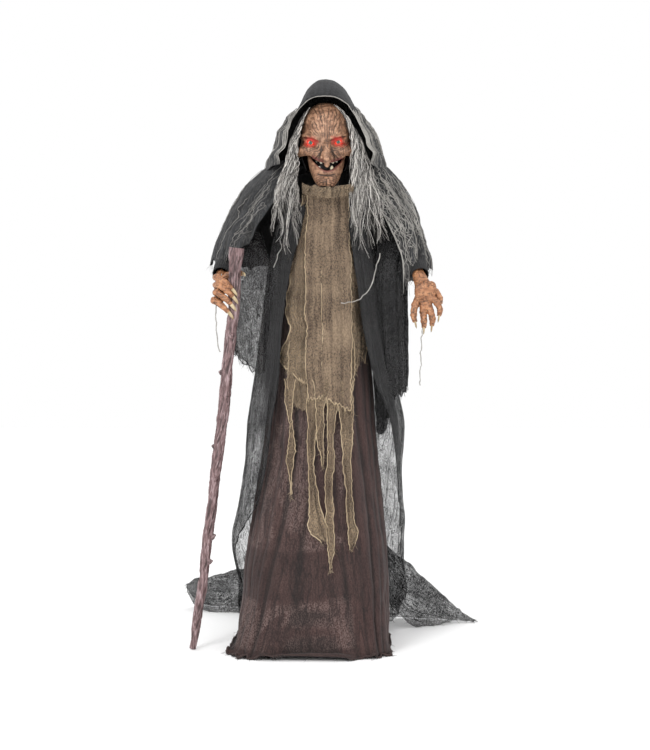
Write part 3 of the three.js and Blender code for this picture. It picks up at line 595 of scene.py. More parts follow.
def bark_look():
    """Purple-brown moulded bark, darker in the grooves and rubbed pale on the ridges."""
    look = Look("bark", Coat_Weight=0.15, Coat_Roughness=0.4)
    streak = look.spots((0.008, 0.008, 0.05), detail=5, bend=1.0)
    colour = look.ramp(streak, (0.32, rgb(72, 52, 52)), (0.5, rgb(116, 90, 90)), (0.68, rgb(158, 136, 138)))
    wash = look.ramp(look.painted("wash"), (0.0, 0.0), (1.0, 0.85))
    look.feed(Base_Color=look.blend(wash, colour, rgb(52, 36, 36)),
              Roughness=look.ramp(streak, (0.3, 0.62), (0.7, 0.42)), Normal=look.bump(streak, 0.0016, 0.7))
    return look.material


ROBE_BANDS = [(0.0, 0.8), (0.03, 0.85), (0.06, 1.0), (0.2, 1.0), (0.22, 0.85), (0.37, 0.85), (0.39, 1.0),
              (1.0, 0.9)]
LOOKS = {
    "robe": fabric("robe_weave", rgb(50, 31, 29), rgb(72, 50, 46), crinkle=0.005, heights=ROBE_BANDS,
                   flecks=rgb(122, 103, 98), fold_shade=0.45, crease_shade=0.75, pleat_shade=0.6, grain=0.25,
                   fine=0.0035),
    "gauze": fabric("gauze_weave", rgb(90, 74, 60), rgb(142, 122, 100), crinkle=0.004, see=(0.78, 0.95),
                    fold_shade=0.75, weave_gap=0.85, crinkle_lines=0.97, pleat_shade=0.5, grain=0.15, fine=0.004),
    "gauze_thin": fabric("gauze_thin_weave", rgb(104, 88, 70), rgb(150, 130, 106), crinkle=0.004,
                         see=(0.45, 0.72), fold_shade=0.6, weave_gap=0.55, crinkle_lines=0.9, pleat_shade=0.3,
                         grain=0.2, fine=0.0045),
    # Painted highlight: the rolled edges and loose threads of the apron are painted much paler than its
    # cloth, for the light along them.
    "gauze_edge_highlight": fabric("gauze_edge_highlight_weave", rgb(172, 150, 120), rgb(214, 194, 162), crinkle=0.004,
                         grain=0.1),
    "cloak": fabric("cloak_weave", rgb(16, 16, 17), rgb(46, 45, 46), crinkle=0.006, see=(0.33, 0.58),
                    fold_shade=0.5, crease_shade=0.6, weave_gap=0.55, fine=0.0038, pleat_shade=0.95,
                    thinning=[(0.0, 1.0), (0.75, 1.0), (1.0, 1.4)], crinkle_lines=0.97),
    "sleeve": fabric("sleeve_weave", rgb(20, 20, 21), rgb(50, 49, 50), crinkle=0.006, see=(0.32, 0.6),
                     fold_shade=0.45, flecks=rgb(96, 94, 92), pleat_shade=0.85, weave_gap=0.5, fine=0.0038),
    "cloak_dense": fabric("cloak_dense_weave", rgb(12, 12, 13), rgb(38, 37, 38), crinkle=0.007,
                          see=(0.85, 1.0), fold_shade=0.4, pleat_shade=0.7),
    "hood": fabric("hood_weave", rgb(14, 14, 16), rgb(46, 47, 50), crinkle=0.007, web=rgb(150, 147, 142),
                   fold_shade=0.3, crease_shade=0.4, pleat_shade=0.6),
    "lining": fabric("lining_weave", rgb(10, 9, 10), rgb(24, 23, 24)),
    "knit": fabric("knit_weave", rgb(12, 12, 13), rgb(30, 30, 32), crinkle=0.004),
    "web": fabric("web_weave", rgb(124, 121, 117), rgb(212, 208, 201), pitch=0.001, grain=0.1),
    "face": skin("face_latex", rgb(166, 125, 98), rgb(118, 84, 63), rgb(192, 150, 120), 0.5),
    "hand": skin("hand_latex", rgb(170, 118, 82), rgb(136, 90, 60), rgb(188, 138, 100), 0.45),
    "hair": hair_look(),
    "eye": eye_look(),
    "bark": bark_look(),
    "nail": hard("nail", rgb(150, 126, 92), rgb(206, 190, 156), 0.35),
    "tooth": hard("tooth", rgb(224, 212, 176), rgb(252, 248, 232), 0.2),
    "mouth": hard("mouth_paint", rgb(8, 4, 4), rgb(24, 9, 9), 0.5),
    "steel": hard("stand_steel", rgb(26, 26, 28), rgb(50, 50, 54), 0.4, 0.6),
    "zinc": hard("zinc_steel", rgb(126, 126, 124), rgb(176, 176, 172), 0.3, 0.9),
    "plastic": hard("black_plastic", rgb(20, 20, 22), rgb(38, 38, 40), 0.5),
    "white": hard("white_plastic", rgb(188, 184, 172), rgb(222, 220, 210), 0.45),
    "board": hard("circuit_board", rgb(16, 60, 36), rgb(40, 104, 64), 0.4),
    "rubber": hard("foot_rubber", rgb(18, 18, 18), rgb(36, 36, 36), 0.8),
    "lens": hard("led_lens", rgb(160, 10, 8), rgb(236, 40, 20), 0.2),
}

# Each look's CAD nodes, by how their names start.
FINISHES = {
    "steel": ("base_hub", "base_leg", "lower_pole", "middle_pole", "spine_pole", "shoulder_bar",
              "arm_tube"),
    "rubber": ("foot_cap",),
    "zinc": ("snap_button", "chest_hoop", "dc_jack", "jaw_pin"),
    "plastic": ("control", "speaker", "motion_sensor", "neck_motor", "skull_shell", "jaw_motor",
                "shoulder_knob"),
    "board": ("circuit_board",),
    "white": ("mode_switch", "neck_gear", "neck_pinion", "jaw_crank"),
    "lens": ("eye_led",),
}


def dress_frame():
    """Gives the CAD nodes that are not replaced their looks."""
    for name, node in NODES.items():
        for look, starts in FINISHES.items():
            if name.startswith(starts):
                for slot in node.material_slots:
                    slot.material = LOOKS[look]


# ---------- robe ----------
ROBE_TOP = 1690
HEM_X, HEM_Y = -36, -54
# Height, centre x, centre y, half width, half depth.
ROBE = [
    [-30, -44, -56, 316, 338], [0, -38, -54, 302, 326], [60, -33, -52, 285, 314], [183, -24, -50, 272, 300],
    [300, -19, -48, 266, 284], [468, -14, -45, 248, 262], [806, -4, -40, 206, 218],
    [1188, 2, -44, 174, 175], [1400, 2, -55, 164, 152], [1540, 6, -60, 150, 122], [1640, 10, -62, 122, 98],
    [1690, 14, -66, 84, 76],
]
read_robe = reader(ROBE)


def pleats(angle, depth, seed, counts):
    """Soft vertical folds round a garment, about -1 to 1. depth runs from 0 at the top to 1."""
    turns = np.random.default_rng(seed)
    spot = at(np.cos(angle) * 3, np.sin(angle) * 3, depth * 3)
    bent = angle + 0.12 * noise(spot, 1.0, seed)
    total = 0
    for count in counts:
        phase, drift, size = turns.uniform(0, 6.3), turns.uniform(-0.5, 0.5), turns.uniform(0.6, 1.0)
        wave = np.sin(count * bent + phase + drift * depth * 3)
        total = total + size * (2 * np.abs(wave) ** 0.8 - 1) * (0.7 + 0.3 * np.sin(depth * 4 + phase))
    return total / len(counts) * 1.5


def robe_point(angle, z):
    """A point of the robe's surface. Angle 0 is the back, pi the front."""
    cx, cy, a, b = read_robe(z)
    fall = 1 - z / ROBE_TOP
    fold = pleats(angle, fall, 11, (5, 8, 13)) * mix(2.0, 12.0, fall ** 0.8)
    spot = at(np.sin(angle), np.cos(angle), z / 300)
    fold = fold + 4.5 * fall * rough(spot, 0.35, 5, 3)
    crease = np.abs(rough(spot * (1, 1, 0.25), 0.3, 6, 2))
    fold = fold - 3.0 * fall * np.maximum(1 - 9 * crease, 0)
    # Towards the hem the front of the skirt is squarer, with corners to its left and right.
    power = mix(1.0, 0.4, step(fall, 0.5, 1.0) * (np.cos(angle) < 0))
    side, ahead = (np.sign(f) * np.abs(f) ** power for f in (np.sin(angle), np.cos(angle)))
    low = step(z, 150, 0)
    wide = 1 + low * (0.02 - 0.11 * step(np.cos(angle), -0.5, -0.05))
    shallow = mix(0.93, 1, power)
    return at(cx + (a + fold) * side * wide, cy + (b + fold) * ahead * shallow, z)


def doubled(grid):
    """Where two thicknesses of the robe's cloth lie on each other, and it looks plain and dark: down
    its left side in front, in a band below the knee, and along the hem."""
    x, _, z = np.moveaxis(grid, -1, 0)
    cx, _, a, _ = read_robe(z)
    across = (x - cx) / a + 0.06 * rough(grid, 180.0, 15, 2)
    z = z + 14 * rough(grid, 120.0, 16, 3) - 40 * np.maximum(across, 0)
    side = step(across, 0.5, 0.56)
    band = step(z, 196, 208) * step(z, 392, 380)
    return np.clip(side + 0.9 * band + step(z, 30, 18), 0, 1)


def robe():
    rows, cols = 175, 252
    t = top_to_bottom(rows)
    angle = once_round(cols)
    z = mix(ROBE_TOP, -26.0, t) + 0 * angle
    grid = robe_point(angle + 0 * z, z)
    # The last of the skirt lies on the floor, in ripples, with a crumpled edge.
    round_about = at(np.cos(angle), np.sin(angle), t * 6)
    low = step(grid[..., 2], 36, -6)
    spread = 1 + low * (0.07 * rough(round_about, 0.34, 12, 2) + 0.03 * noise(round_about, 0.08, 14))
    grid[..., 0] = HEM_X + (grid[..., 0] - HEM_X) * spread
    grid[..., 1] = HEM_Y + (grid[..., 1] - HEM_Y) * (0.5 + 0.5 * spread)
    ripple = 13 + 22 * rough(round_about, 0.2, 3, 3)
    grid[..., 2] = mix(grid[..., 2], np.maximum(ripple, 1.5), low)
    obj = cloth("robe_skirt", grid, ROBE_FLAT, [LOOKS["robe"]], wrapped=True, dense=doubled(grid))
    belongs(obj, "robe_cloth", "stand", ["robe"])
    hem = hem_roll("robe_hem", grid[-1], 3.6, LOOKS["robe"], loop=True)
    belongs(hem, "robe_cloth", "stand")
    frays = fringe("robe_frays", grid[-1], 260, (8, 34), LOOKS["robe"], spread=0.9, seed=4)
    belongs(frays, "robe_cloth", "stand")


def hem_roll(name, edge, radius, material, loop=False):
    """A rolled edge along a row of a sheet's points."""
    path = np.concatenate([edge, edge[:1]]) if loop else edge.copy()
    wobble = 1 + 0.35 * noise(path, 14.0, 9)
    path[:, 2] = np.maximum(path[:, 2], radius * 1.4)
    return tubes(name, path[None], (radius * wobble)[None], [material], 7)


def fringe(name, edge, count, lengths, material, spread=0.3, seed=0, down=-1.0, thick=0.7):
    """Loose threads that leave an edge and end in the air or on the floor."""
    draw = np.random.default_rng(seed)
    paths = []
    for _ in range(count):
        root = edge[draw.integers(len(edge))]
        length = draw.uniform(*lengths)
        way = np.array([draw.normal(0, spread), draw.normal(0, spread), down])
        t = np.linspace(0, 1, 8)[:, None]
        path = root + way / np.linalg.norm(way) * length * t
        path = path + 0.12 * length * t * shake(path, 12.0, seed + 1)
        path[:, 2] = np.maximum(path[:, 2], 1.2)
        paths.append(path)
    radii = thick * np.linspace(1, 0.4, 8)[None]
    return tubes(name, np.array(paths), radii, [material], 3)


# ---------- gauze ----------
def front_of_robe(x, z, away):
    """The y of the robe's front at x, less away."""
    cx, cy, a, b = read_robe(np.minimum(z, 1640))
    inside = np.clip(1 - ((x - cx) / (a + away)) ** 2, 0.05, 1)
    return cy - (b + away) * np.sqrt(inside) - 8


def gauze_panel(name, sides, ends, flat, away, seed, fold=6.0, rows=90, cols=60, material="gauze", roll=0.0,
                counts=(3, 5, 8)):
    """One layer of the apron. sides has rows of height, left x and right x. ends gives how far
    short of the last row each place across the panel is cut, in mm."""
    rail = spline(sides, rows)
    t = top_to_bottom(rows)
    u = np.linspace(0, 1, cols)[None]
    short = np.interp(u, [e[0] for e in ends], [e[1] for e in ends])
    short = short + 10 * noise(at(u * 40), 1.0, seed) + 6 * noise(at(u * 90), 1.0, seed + 1)
    top, bottom = rail[0, 0], rail[-1, 0]
    z = mix(top, bottom + short, t)
    left = np.interp(z, rail[::-1, 0], rail[::-1, 1])
    right = np.interp(z, rail[::-1, 0], rail[::-1, 2])
    spot = at(0, z)
    left = left + 4 * rough(spot, 60.0, seed + 2, 2) + 2.5 * noise(spot, 9.0, seed + 3)
    right = right + 4 * rough(spot, 60.0, seed + 4, 2) + 2.5 * noise(spot, 9.0, seed + 5)
    x = mix(left, right, u)
    draw = np.random.default_rng(seed)
    wave = 0
    for count in counts:
        phase = draw.uniform(0, 6.3)
        bent = u + 0.04 * noise(at(u * 3, z / 420), 1.0, seed + 6)
        wave = wave + (2 * np.abs(np.sin(np.pi * count * bent + phase)) ** 0.7 - 1) * draw.uniform(0.6, 1)
    wave = wave / len(counts)
    soft = rough(at(x, z * 0.25), 46.0, seed + 7, 2)
    y = front_of_robe(x, z, away) - fold * (wave + 0.2 * soft + 1)
    grid = np.stack([x, y, z], -1)
    obj = cloth(name, grid, flat, [LOOKS[material]])
    belongs(obj, "gauze_cloth", "stand")
    # The rolled edges and loose threads take the pale edge look, which is a painted highlight.
    extras = [hem_roll(f"{name}_edge_{k}", grid[:, -k], 1.6, LOOKS["gauze_edge_highlight"]) for k in (0, 1)]
    if roll:
        extras.append(hem_roll(name + "_roll", grid[-1], roll, LOOKS["gauze_edge_highlight"]))
    edge = np.concatenate([grid[:, 0], grid[:, -1], grid[-1], grid[-1]])
    extras.append(fringe(name + "_frays", edge, 90, (6, 22), LOOKS["gauze_edge_highlight"], spread=0.8, seed=seed,
                         down=-0.8, thick=0.5))
    for extra in extras:
        belongs(extra, "gauze_cloth", "stand")
    return obj


def gauze():
    square_cut = [[0, 0], [1, 0]]
    under_left = [[1690, -66, 20], [1600, -84, 10], [1504, -112, 0], [1350, -122, 0], [1240, -128, 0],
                  [1191, -122, 0], [1099, -156, 0], [1050, -140, 0], [1000, -120, 20]]
    under_right = [[1690, 30, 96], [1600, 40, 120], [1486, 60, 160], [1350, 70, 170], [1200, 70, 172],
                   [1081, 80, 166], [1010, 90, 150]]
    lower = [[1150, -120, 118], [1040, -126, 120], [940, -118, 116], [900, -112, 112]]
    column = [[1700, -50, 96], [1660, -54, 98], [1600, -56, 100], [1450, -58, 106], [1301, -60, 110],
              [1150, -58, 110], [1020, -54, 110], [900, -44, 110]]
    first = gauze_panel("gauze_under_left", under_left, [[0, 60], [0.25, 10], [0.5, 0], [1, -20]],
                        (0.18, 0.68), 6, 21, 6, material="gauze_thin", roll=1.8, counts=(3, 5))
    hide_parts("gauze_apron")
    gauze_panel("gauze_under_right", under_right, [[0, 0], [0.4, 60], [0.6, 10], [0.8, 90], [1, 60]],
                (0.16, 0.68), 4, 22, 5, material="gauze_thin", counts=(3, 5))
    lower_cut = [[0, 30], [0.25, -10], [0.3, 60], [0.5, 20], [0.75, 40], [0.8, -30], [1, -40]]
    gauze_panel("gauze_lower", lower, lower_cut, (0.28, 0.28), 5, 23, 6, material="gauze_thin")
    gauze_panel("gauze_column", column, [[0, 30], [0.3, 46], [0.5, 30], [0.8, 10], [1, -10]], (0.19, 0.78),
                13, 24, 5, cols=150, rows=150, roll=1.4, counts=(3, 5))
    strips = [
        ("gauze_strip_1", [[1010, -134, -100], [940, -134, -106], [880, -124, -110], [760, -120, -98],
                           [715, -126, -104], [650, -117, -106], [585, -113, -108]], 31),
        ("gauze_strip_2", [[1010, -54, 20], [900, -52, 2], [800, -50, -20], [700, -50, -26],
                           [600, -50, -16], [520, -50, 6], [462, -46, 26], [425, 2, 32]], 32),
        ("gauze_strip_3", [[1010, 8, 60], [900, 20, 52], [760, 22, 44], [620, 16, 38], [500, 18, 42],
                           [400, 26, 42], [325, 33, 37]], 33),
        ("gauze_strip_4", [[1010, 52, 112], [900, 60, 112], [800, 74, 112], [700, 80, 110], [600, 88, 112],
                           [500, 94, 120], [452, 98, 134], [400, 106, 116]], 34),
        ("gauze_strip_5", [[1010, -30, 30], [900, -24, 10], [820, -16, 6], [740, -8, 4], [700, -4, 2]], 35),
    ]
    for name, sides, seed in strips:
        tall = (sides[0][0] - sides[-1][0]) * MM
        wide = float(np.mean([r[2] - r[1] for r in sides])) * MM * 1.3
        flat = (round(wide, 3), round(tall * 1.06, 2))
        gauze_panel(name, sides, square_cut, flat, 6 + seed - 30, seed, 5, 100, 16, material="gauze_thin",
                    counts=(1, 2))
    ruffle()


def ruffle():
    """The gathered neck of the apron: a crumpled roll below the chin."""
    rows, cols = 34, 150
    t = top_to_bottom(rows)
    u = np.linspace(0, 1, cols)[None]
    x = mix(-72, 118, u) + 0 * t
    bow = 1 - ((x - 23) / 130) ** 2
    crimp = noise(at(u * 26 + t * 2, t * 1.5), 1.0, 44)
    z = 1716 - 40 * t + 26 * (1 - bow) + 5 * noise(at(u * 12, t * 3), 1.0, 45)
    y = -196 - 34 * np.clip(bow, 0, 1) - 13 * np.sin(np.pi * np.clip(t * 1.15, 0, 1)) - 6 * crimp
    obj = cloth("gauze_ruffle", np.stack([x, y, z], -1), RUFFLE_FLAT, [LOOKS["gauze_thin"]])
    belongs(obj, "gauze_cloth", "stand")


# ---------- cloak and its tails ----------
CLOAK_TOP = 1660
# Height, centre x, centre y, half width, half depth, how far round from the back its two edges are.
CLOAK = [
    [1660, 10, -58, 140, 108, 154, 150], [1540, 6, -54, 178, 144, 152, 148],
    [1400, 4, -50, 200, 176, 144, 144], [1188, 4, -44, 226, 202, 140, 140],
    [1000, 10, -40, 256, 222, 140, 134], [850, 14, -38, 284, 238, 138, 124],
    [650, 2, -38, 288, 256, 134, 112], [500, -6, -42, 302, 276, 124, 104],
    [375, -20, -45, 310, 292, 108, 98], [238, -2, -50, 300, 318, 97, 92], [110, 4, -48, 302, 330, 88, 84],
    [20, 2, -45, 306, 336, 80, 78],
]
read_cloak = reader(CLOAK)


def cloak():
    rows, cols = 170, 260
    t = top_to_bottom(rows)
    u = np.linspace(-1, 1, cols)[None]
    hem = 14 + 12 * noise(at(u * 9), 1.0, 61) + 130 * step(u, 0.72, 1.0) + 40 * step(-u, 0.8, 1.0)
    z = mix(CLOAK_TOP, np.maximum(hem, 3), t) + 0 * u
    *plan, left, right = read_cloak(z)
    angle = np.radians(np.where(u < 0, left, right)) * u
    fall = 1 - z / CLOAK_TOP
    fold = pleats(angle, fall, 62, (6, 9, 14, 21)) * mix(3.0, 20.0, fall)
    spot = at(np.sin(angle) * 270, np.cos(angle) * 270, z)
    fold = fold + 7 * fall * rough(spot, (60, 60, 150), 63, 3) + 8
    grid = wall(plan, fold, angle, z)
    # Both front edges are gathered into several thicknesses, and so are the folds here and there.
    gathers = step(noise(at(u * 11 + 0.5 * t, t * 1.2), 1.0, 65), 0.25, 0.6)
    left_edge = step(u + 0.06 * np.sin(t * 9), 0.80, 0.87) * step(t, 0.72, 0.6)
    right_edge = step(-u + 0.04 * np.sin(t * 7), 0.88, 0.93) * step(t, 0.55, 0.4)
    dense = np.clip(left_edge + right_edge + 0.45 * gathers, 0, 1)
    obj = cloth("cloak_drape", grid, CLOAK_FLAT, [LOOKS["cloak"]], dense=dense)
    belongs(obj, "cloak_cloth", "stand", ["cloak"])
    edges = [hem_roll(f"cloak_edge_{side}", grid[:, column], 1.8, LOOKS["cloak_dense"])
             for side, column in (("right", 0), ("left", -1))]
    edges.append(fringe("cloak_frays", grid[-1], 80, (6, 20), LOOKS["cloak_dense"], spread=0.9, seed=64))
    for edge in edges:
        belongs(edge, "cloak_cloth", "stand")


def tail(name, node, front, ridge, back, flat, seed):
    """A fold of the cloak that spreads on the floor, skinned over a front hem, a ridge and a back hem."""
    rows, cols = 90, 100
    front, ridge, back = (spline(curve, rows) for curve in (front, ridge, back))
    u = np.linspace(-1, 1, cols)[None, :, None]
    t = top_to_bottom(rows)
    hems = np.where(u < 0, front[:, None], back[:, None])
    rise = np.cos(np.clip(np.abs(u), 0, 1) * np.pi / 2) ** 2.2
    grid = mix(hems, ridge[:, None], 1 - np.abs(u))
    grid[..., 2] = mix(hems[..., 2], ridge[:, None, 2], rise[..., 0])
    lumps = rough(grid * (1, 1, 0), 90.0, seed, 4)
    creases = 1 - np.abs(rough(grid * (1, 1, 0.4), 75.0, seed + 5, 3)) * 2.4
    grid[..., 2] += (9 * lumps + 7 * creases) * np.clip(1.2 - np.abs(u[..., 0]), 0.1, 1)
    edge = noise(at(t * 14, u[..., 0] * 2), 1.0, seed + 9)
    grid[..., 1] += 10 * edge * np.abs(u[..., 0]) ** 3
    grid[..., 2] = np.maximum(grid[..., 2], 2.0)
    obj = cloth(name, grid, flat, [LOOKS["cloak"]])
    belongs(obj, "cloak_cloth", "stand", [node])
    rims = np.concatenate([grid[:, 0], grid[:, -1], grid[-1]])
    frays = fringe(name + "_frays", rims, 90, (6, 22), LOOKS["cloak_dense"], spread=0.9, seed=seed,
                   down=-0.3)
    belongs(frays, "cloak_cloth", "stand")


def tails():
    tail("cloak_sweep_left", "cloak_tail_left",
         [[176, 30, 150], [262, 64, 110], [310, 110, 58], [368, 140, 6], [459, 170, 4], [530, 205, 16],
          [613, 235, 4]],
         [[170, 110, 400], [240, 160, 345], [310, 186, 275], [360, 195, 236], [452, 205, 146],
          [528, 215, 78], [615, 240, 8]],
         [[150, 200, 120], [240, 270, 20], [330, 310, 6], [400, 305, 4], [480, 290, 3], [560, 262, 3],
          [617, 245, 3]],
         (0.48, 0.46), 71)
    tail("cloak_sweep_right", "cloak_tail_right",
         [[-120, 150, 60], [-190, 250, 10], [-250, 320, 6], [-330, 380, 4], [-400, 415, 3], [-470, 432, 3],
          [-530, 446, 20], [-566, 462, 74]],
         [[-110, 190, 330], [-170, 270, 240], [-240, 360, 196], [-330, 430, 176], [-400, 462, 164],
          [-460, 486, 150], [-520, 496, 128], [-572, 492, 104]],
         [[-60, 220, 120], [-120, 340, 12], [-230, 440, 8], [-330, 500, 6], [-400, 530, 6], [-480, 540, 4],
          [-540, 536, 30], [-574, 516, 84]],
         (0.60, 0.48), 72)


# ---------- sleeves and cuffs ----------
def sleeve(name, node, body, stations, hem, flat, material, seed):
    """A wide sleeve that hangs from the forearm. Stations are height, centre x, centre y, half
    width and half depth. hem is the height of its ragged edge across x."""
    rows, cols = 110, 170
    read = reader(stations)
    t = top_to_bottom(rows)
    angle = once_round(cols)
    foot = read(stations[-1][0])
    low = np.interp(foot[0] + foot[2] * np.sin(angle), [x for x, _ in hem], [z for _, z in hem])
    low = low + 12 * noise(at(angle * 6), 1.0, seed)
    z = mix(stations[0][0], low, t)
    fold = pleats(angle + 0 * z, t + 0 * angle, seed, (4, 7, 11)) * mix(4.0, 11.0, t)
    fold = fold + 5 * rough(at(np.sin(angle) * 70, np.cos(angle) * 70, z), (50, 50, 90), seed, 3)
    grid = wall(read(z), fold, angle, z)
    middle = grid.reshape(-1, 3).mean(0)
    obj = cloth(name, grid, flat, [LOOKS[material]], wrapped=True, centre=middle)
    belongs(obj, "cloak_cloth", body, [node])
    mouth = hem_roll(name + "_mouth", grid[-1], 1.6, LOOKS["cloak_dense"], loop=True)
    frays = fringe(name + "_frays", grid[-1], 80, (8, 24), LOOKS["cloak_dense"], spread=0.3, seed=seed)
    for extra in (mouth, frays):
        belongs(extra, "cloak_cloth", body)


def sleeves():
    sleeve("sleeve_drape_right", "sleeve_right", "arm_right",
           [[1560, -296, -30, 62, 56], [1500, -286, -60, 70, 70], [1420, -262, -84, 78, 70],
            [1300, -252, -88, 80, 62], [1150, -248, -88, 80, 56], [980, -244, -88, 78, 50]],
           [(-324, 1110), (-290, 1066), (-245, 1030), (-190, 1034), (-172, 980)],
           (0.50, 0.56), "sleeve", 81)
    sleeve("sleeve_drape_left", "sleeve_left", "arm_left",
           [[1560, 296, -30, 62, 56], [1500, 282, -60, 68, 70], [1420, 256, -84, 66, 70],
            [1300, 254, -88, 64, 62], [1150, 258, -88, 64, 56], [980, 260, -88, 60, 50],
            [760, 250, -86, 50, 40]],
           [(200, 930), (214, 800), (236, 812), (262, 930), (296, 962), (310, 1030)],
           (0.46, 0.62), "cloak_dense", 82)
    for side, body, path in (
            ("right", "arm_right", [[-350, -40, 1462], [-360, -84, 1438], [-374, -150, 1394]]),
            ("left", "arm_left", [[342, -30, 1478], [350, -84, 1446], [364, -164, 1392]])):
        cuff(side, body, path)


def cuff(side, body, path):
    """The black ribbed knit at the wrist."""
    rows, cols = 60, 96
    centre = spline(path, rows)
    t = top_to_bottom(rows)
    angle = once_round(cols)
    ribs = 1.1 * np.cos(24 * angle)
    sag = 5 * np.sin(t * 16 + 2 * np.sin(angle)) * (1 - t)
    radius = mix(46, 33, t ** 0.8) + ribs + sag
    along = unit(np.gradient(centre, axis=0))
    across = unit(np.cross(along, [0, 0, 1]))
    up = np.cross(across, along)
    sine, cosine = np.sin(angle)[..., None], np.cos(angle)[..., None]
    grid = centre[:, None] + radius[..., None] * (across[:, None] * sine + up[:, None] * cosine)
    obj = cloth(f"knit_cuff_{side}", grid, CUFF_FLAT, [LOOKS["knit"]], wrapped=True, thick=2.0)
    belongs(obj, "cloak_cloth", body, [f"cuff_{side}"])


# ---------- hood and capelet ----------
# Share of the half width against share of the height, from the top of the arch down.
RIM_SHAPE = [[0, 0], [0.02, 0.22], [0.11, 0.415], [0.32, 0.62], [0.565, 0.81], [0.7, 0.9], [0.83, 0.98],
             [1, 1]]
CROWN_SHAPE = [[0, 0], [0.02, 0.15], [0.11, 0.31], [0.27, 0.45], [0.42, 0.6], [0.6, 0.79], [0.84, 0.93],
               [1, 1]]
# y, centre x, top z, half width, bottom z, share of the crown's shape.
HOOD = [
    [-206, 12, 2047, 172, 1800, 0], [-196, 12, 2060, 180, 1798, 0.1], [-160, 13, 2088, 196, 1795, 0.4],
    [-100, 15, 2118, 212, 1788, 0.8], [-40, 17, 2130, 224, 1784, 1], [15, 18, 2116, 216, 1788, 1],
    [60, 18, 2060, 190, 1790, 0.9], [92, 18, 1975, 160, 1790, 0.8], [112, 18, 1880, 130, 1790, 0.7],
    [122, 18, 1795, 100, 1788, 0.7],
]


def arch(table, share):
    """Drop and width of an arch at equal steps along its length, from 0 at the top to 1."""
    curve = spline(table, 200)
    length = np.concatenate([[0], np.cumsum(np.hypot(*np.diff(curve, axis=0).T))])
    return [np.interp(share, length / length[-1], column) for column in curve.T]


def hood_grid(rows, cols):
    y, cx, top, half, low, crown = (column[:, None] for column in spline(HOOD, rows).T)
    t = np.linspace(-1, 1, cols)[None]
    s = np.abs(t)
    drop_a, wide_a = arch(RIM_SHAPE, s)
    drop_b, wide_b = arch(CROWN_SHAPE, s)
    drop, wide = mix(drop_a, drop_b, crown), mix(wide_a, wide_b, crown)
    x = cx + half * wide * np.sign(t)
    z = mix(top, low, drop)
    grid = at(x, y, z)
    out = surface_normals(grid)
    lumps = rough(grid, (70, 70, 110), 91, 3)
    pinch = 1 - 2 * np.abs(noise(at(t * 5, y / 140), 1.0, 92))
    soft = step(s, 0.12, 0.5)
    return grid + out * (lumps * mix(2.0, 8.0, soft) + 9 * pinch * soft)[..., None]


def hood():
    grid = hood_grid(130, 200)
    x, y, z = np.moveaxis(grid, -1, 0)
    web_share = step(2050 - z, 0, 130) * step(y, 60, -60) * mix(0.35, 0.75, x > 0)
    obj = cloth("hood_drape", grid, HOOD_FLAT, [LOOKS["hood"], LOOKS["lining"]], thick=2.4, web=web_share)
    rim = hem_roll("hood_rim", grid[0], 1.7, LOOKS["web"])
    belongs(obj, "hood_cloth", None, ["hood"])
    belongs(rim, "hood_cloth")
    spots = [0.05, 0.12, 0.25, 0.4, 0.55]
    halves = (("right", grid[:, 60::-1], 34), ("left", grid[:, 140:], 80))
    webs = [web_strands(f"hood_web_{side}", half.transpose(1, 0, 2), count, spots, 0.3, 93)
            for side, half, count in halves]
    for web in webs:
        belongs(web, "hood_cloth")
    for soft in (obj, rim, *webs):
        neck_blend(soft)


def neck_blend(obj):
    """The piece turns with the head above the jaw and stays with the stand at the collar."""
    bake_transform(obj, "stand", "head", start=(0, 0, 1.80), end=(0, 0, 1.90))


CAPELET_TOP = 1822
# Height, centre x, centre y, half width, half depth, half angle left open at the front.
CAPELET = [
    [1822, 20, -30, 190, 150, 32], [1800, 20, -24, 226, 158, 30], [1760, 14, -18, 272, 168, 29],
    [1721, 10, -14, 304, 178, 30], [1640, 8, -16, 350, 194, 35], [1566, 4, -20, 378, 206, 40],
    [1500, -2, -24, 400, 214, 44], [1432, -5, -26, 414, 220, 46], [1330, -5, -26, 420, 224, 46],
]
read_capelet = reader(CAPELET)
# How low the front of it hangs, across x.
CAPELET_HEM = [(-430, 1444), (-360, 1456), (-304, 1482), (-143, 1541), (143, 1541), (196, 1530),
               (222, 1436), (282, 1352), (340, 1392), (420, 1436)]


def capelet_grid(rows, cols):
    t = top_to_bottom(rows)
    u = np.linspace(-1, 1, cols)[None]
    # The hem hangs as cut in front, and straight behind.
    foot = read_capelet(1440.0)
    turn = u * np.radians(180 - 44)
    x, forward = foot[0] + foot[2] * np.sin(turn), step(-np.cos(turn), -0.5, 0.1)
    hem = mix(1436, np.interp(x, [x for x, _ in CAPELET_HEM], [z for _, z in CAPELET_HEM]), forward)
    hem = hem + 16 * noise(at(u * 16), 1.0, 103) + 9 * noise(at(u * 46), 1.0, 104)
    z = mix(CAPELET_TOP, hem, t)
    *plan, opening = read_capelet(z)
    angle = u * np.radians(180 - opening)
    fold = pleats(angle, t + 0 * u, 101, (5, 8, 13)) * 12 * step(t, 0.1, 1)
    spot = at(np.sin(angle) * 300, np.cos(angle) * 300, z)
    fold = fold + 7 * rough(spot, (60, 60, 120), 102, 3)
    return wall(plan, fold, angle, z)


def arm_weight(points, side):
    """How far a point of the capelet goes with the arm on its side: side is -1 for the right arm."""
    x, y, z = points.T
    reach = step(side * (x - 12), 120, 300)
    low = step(z, 1730, 1560)
    front = step(y, 130, -30)
    return reach * low * front


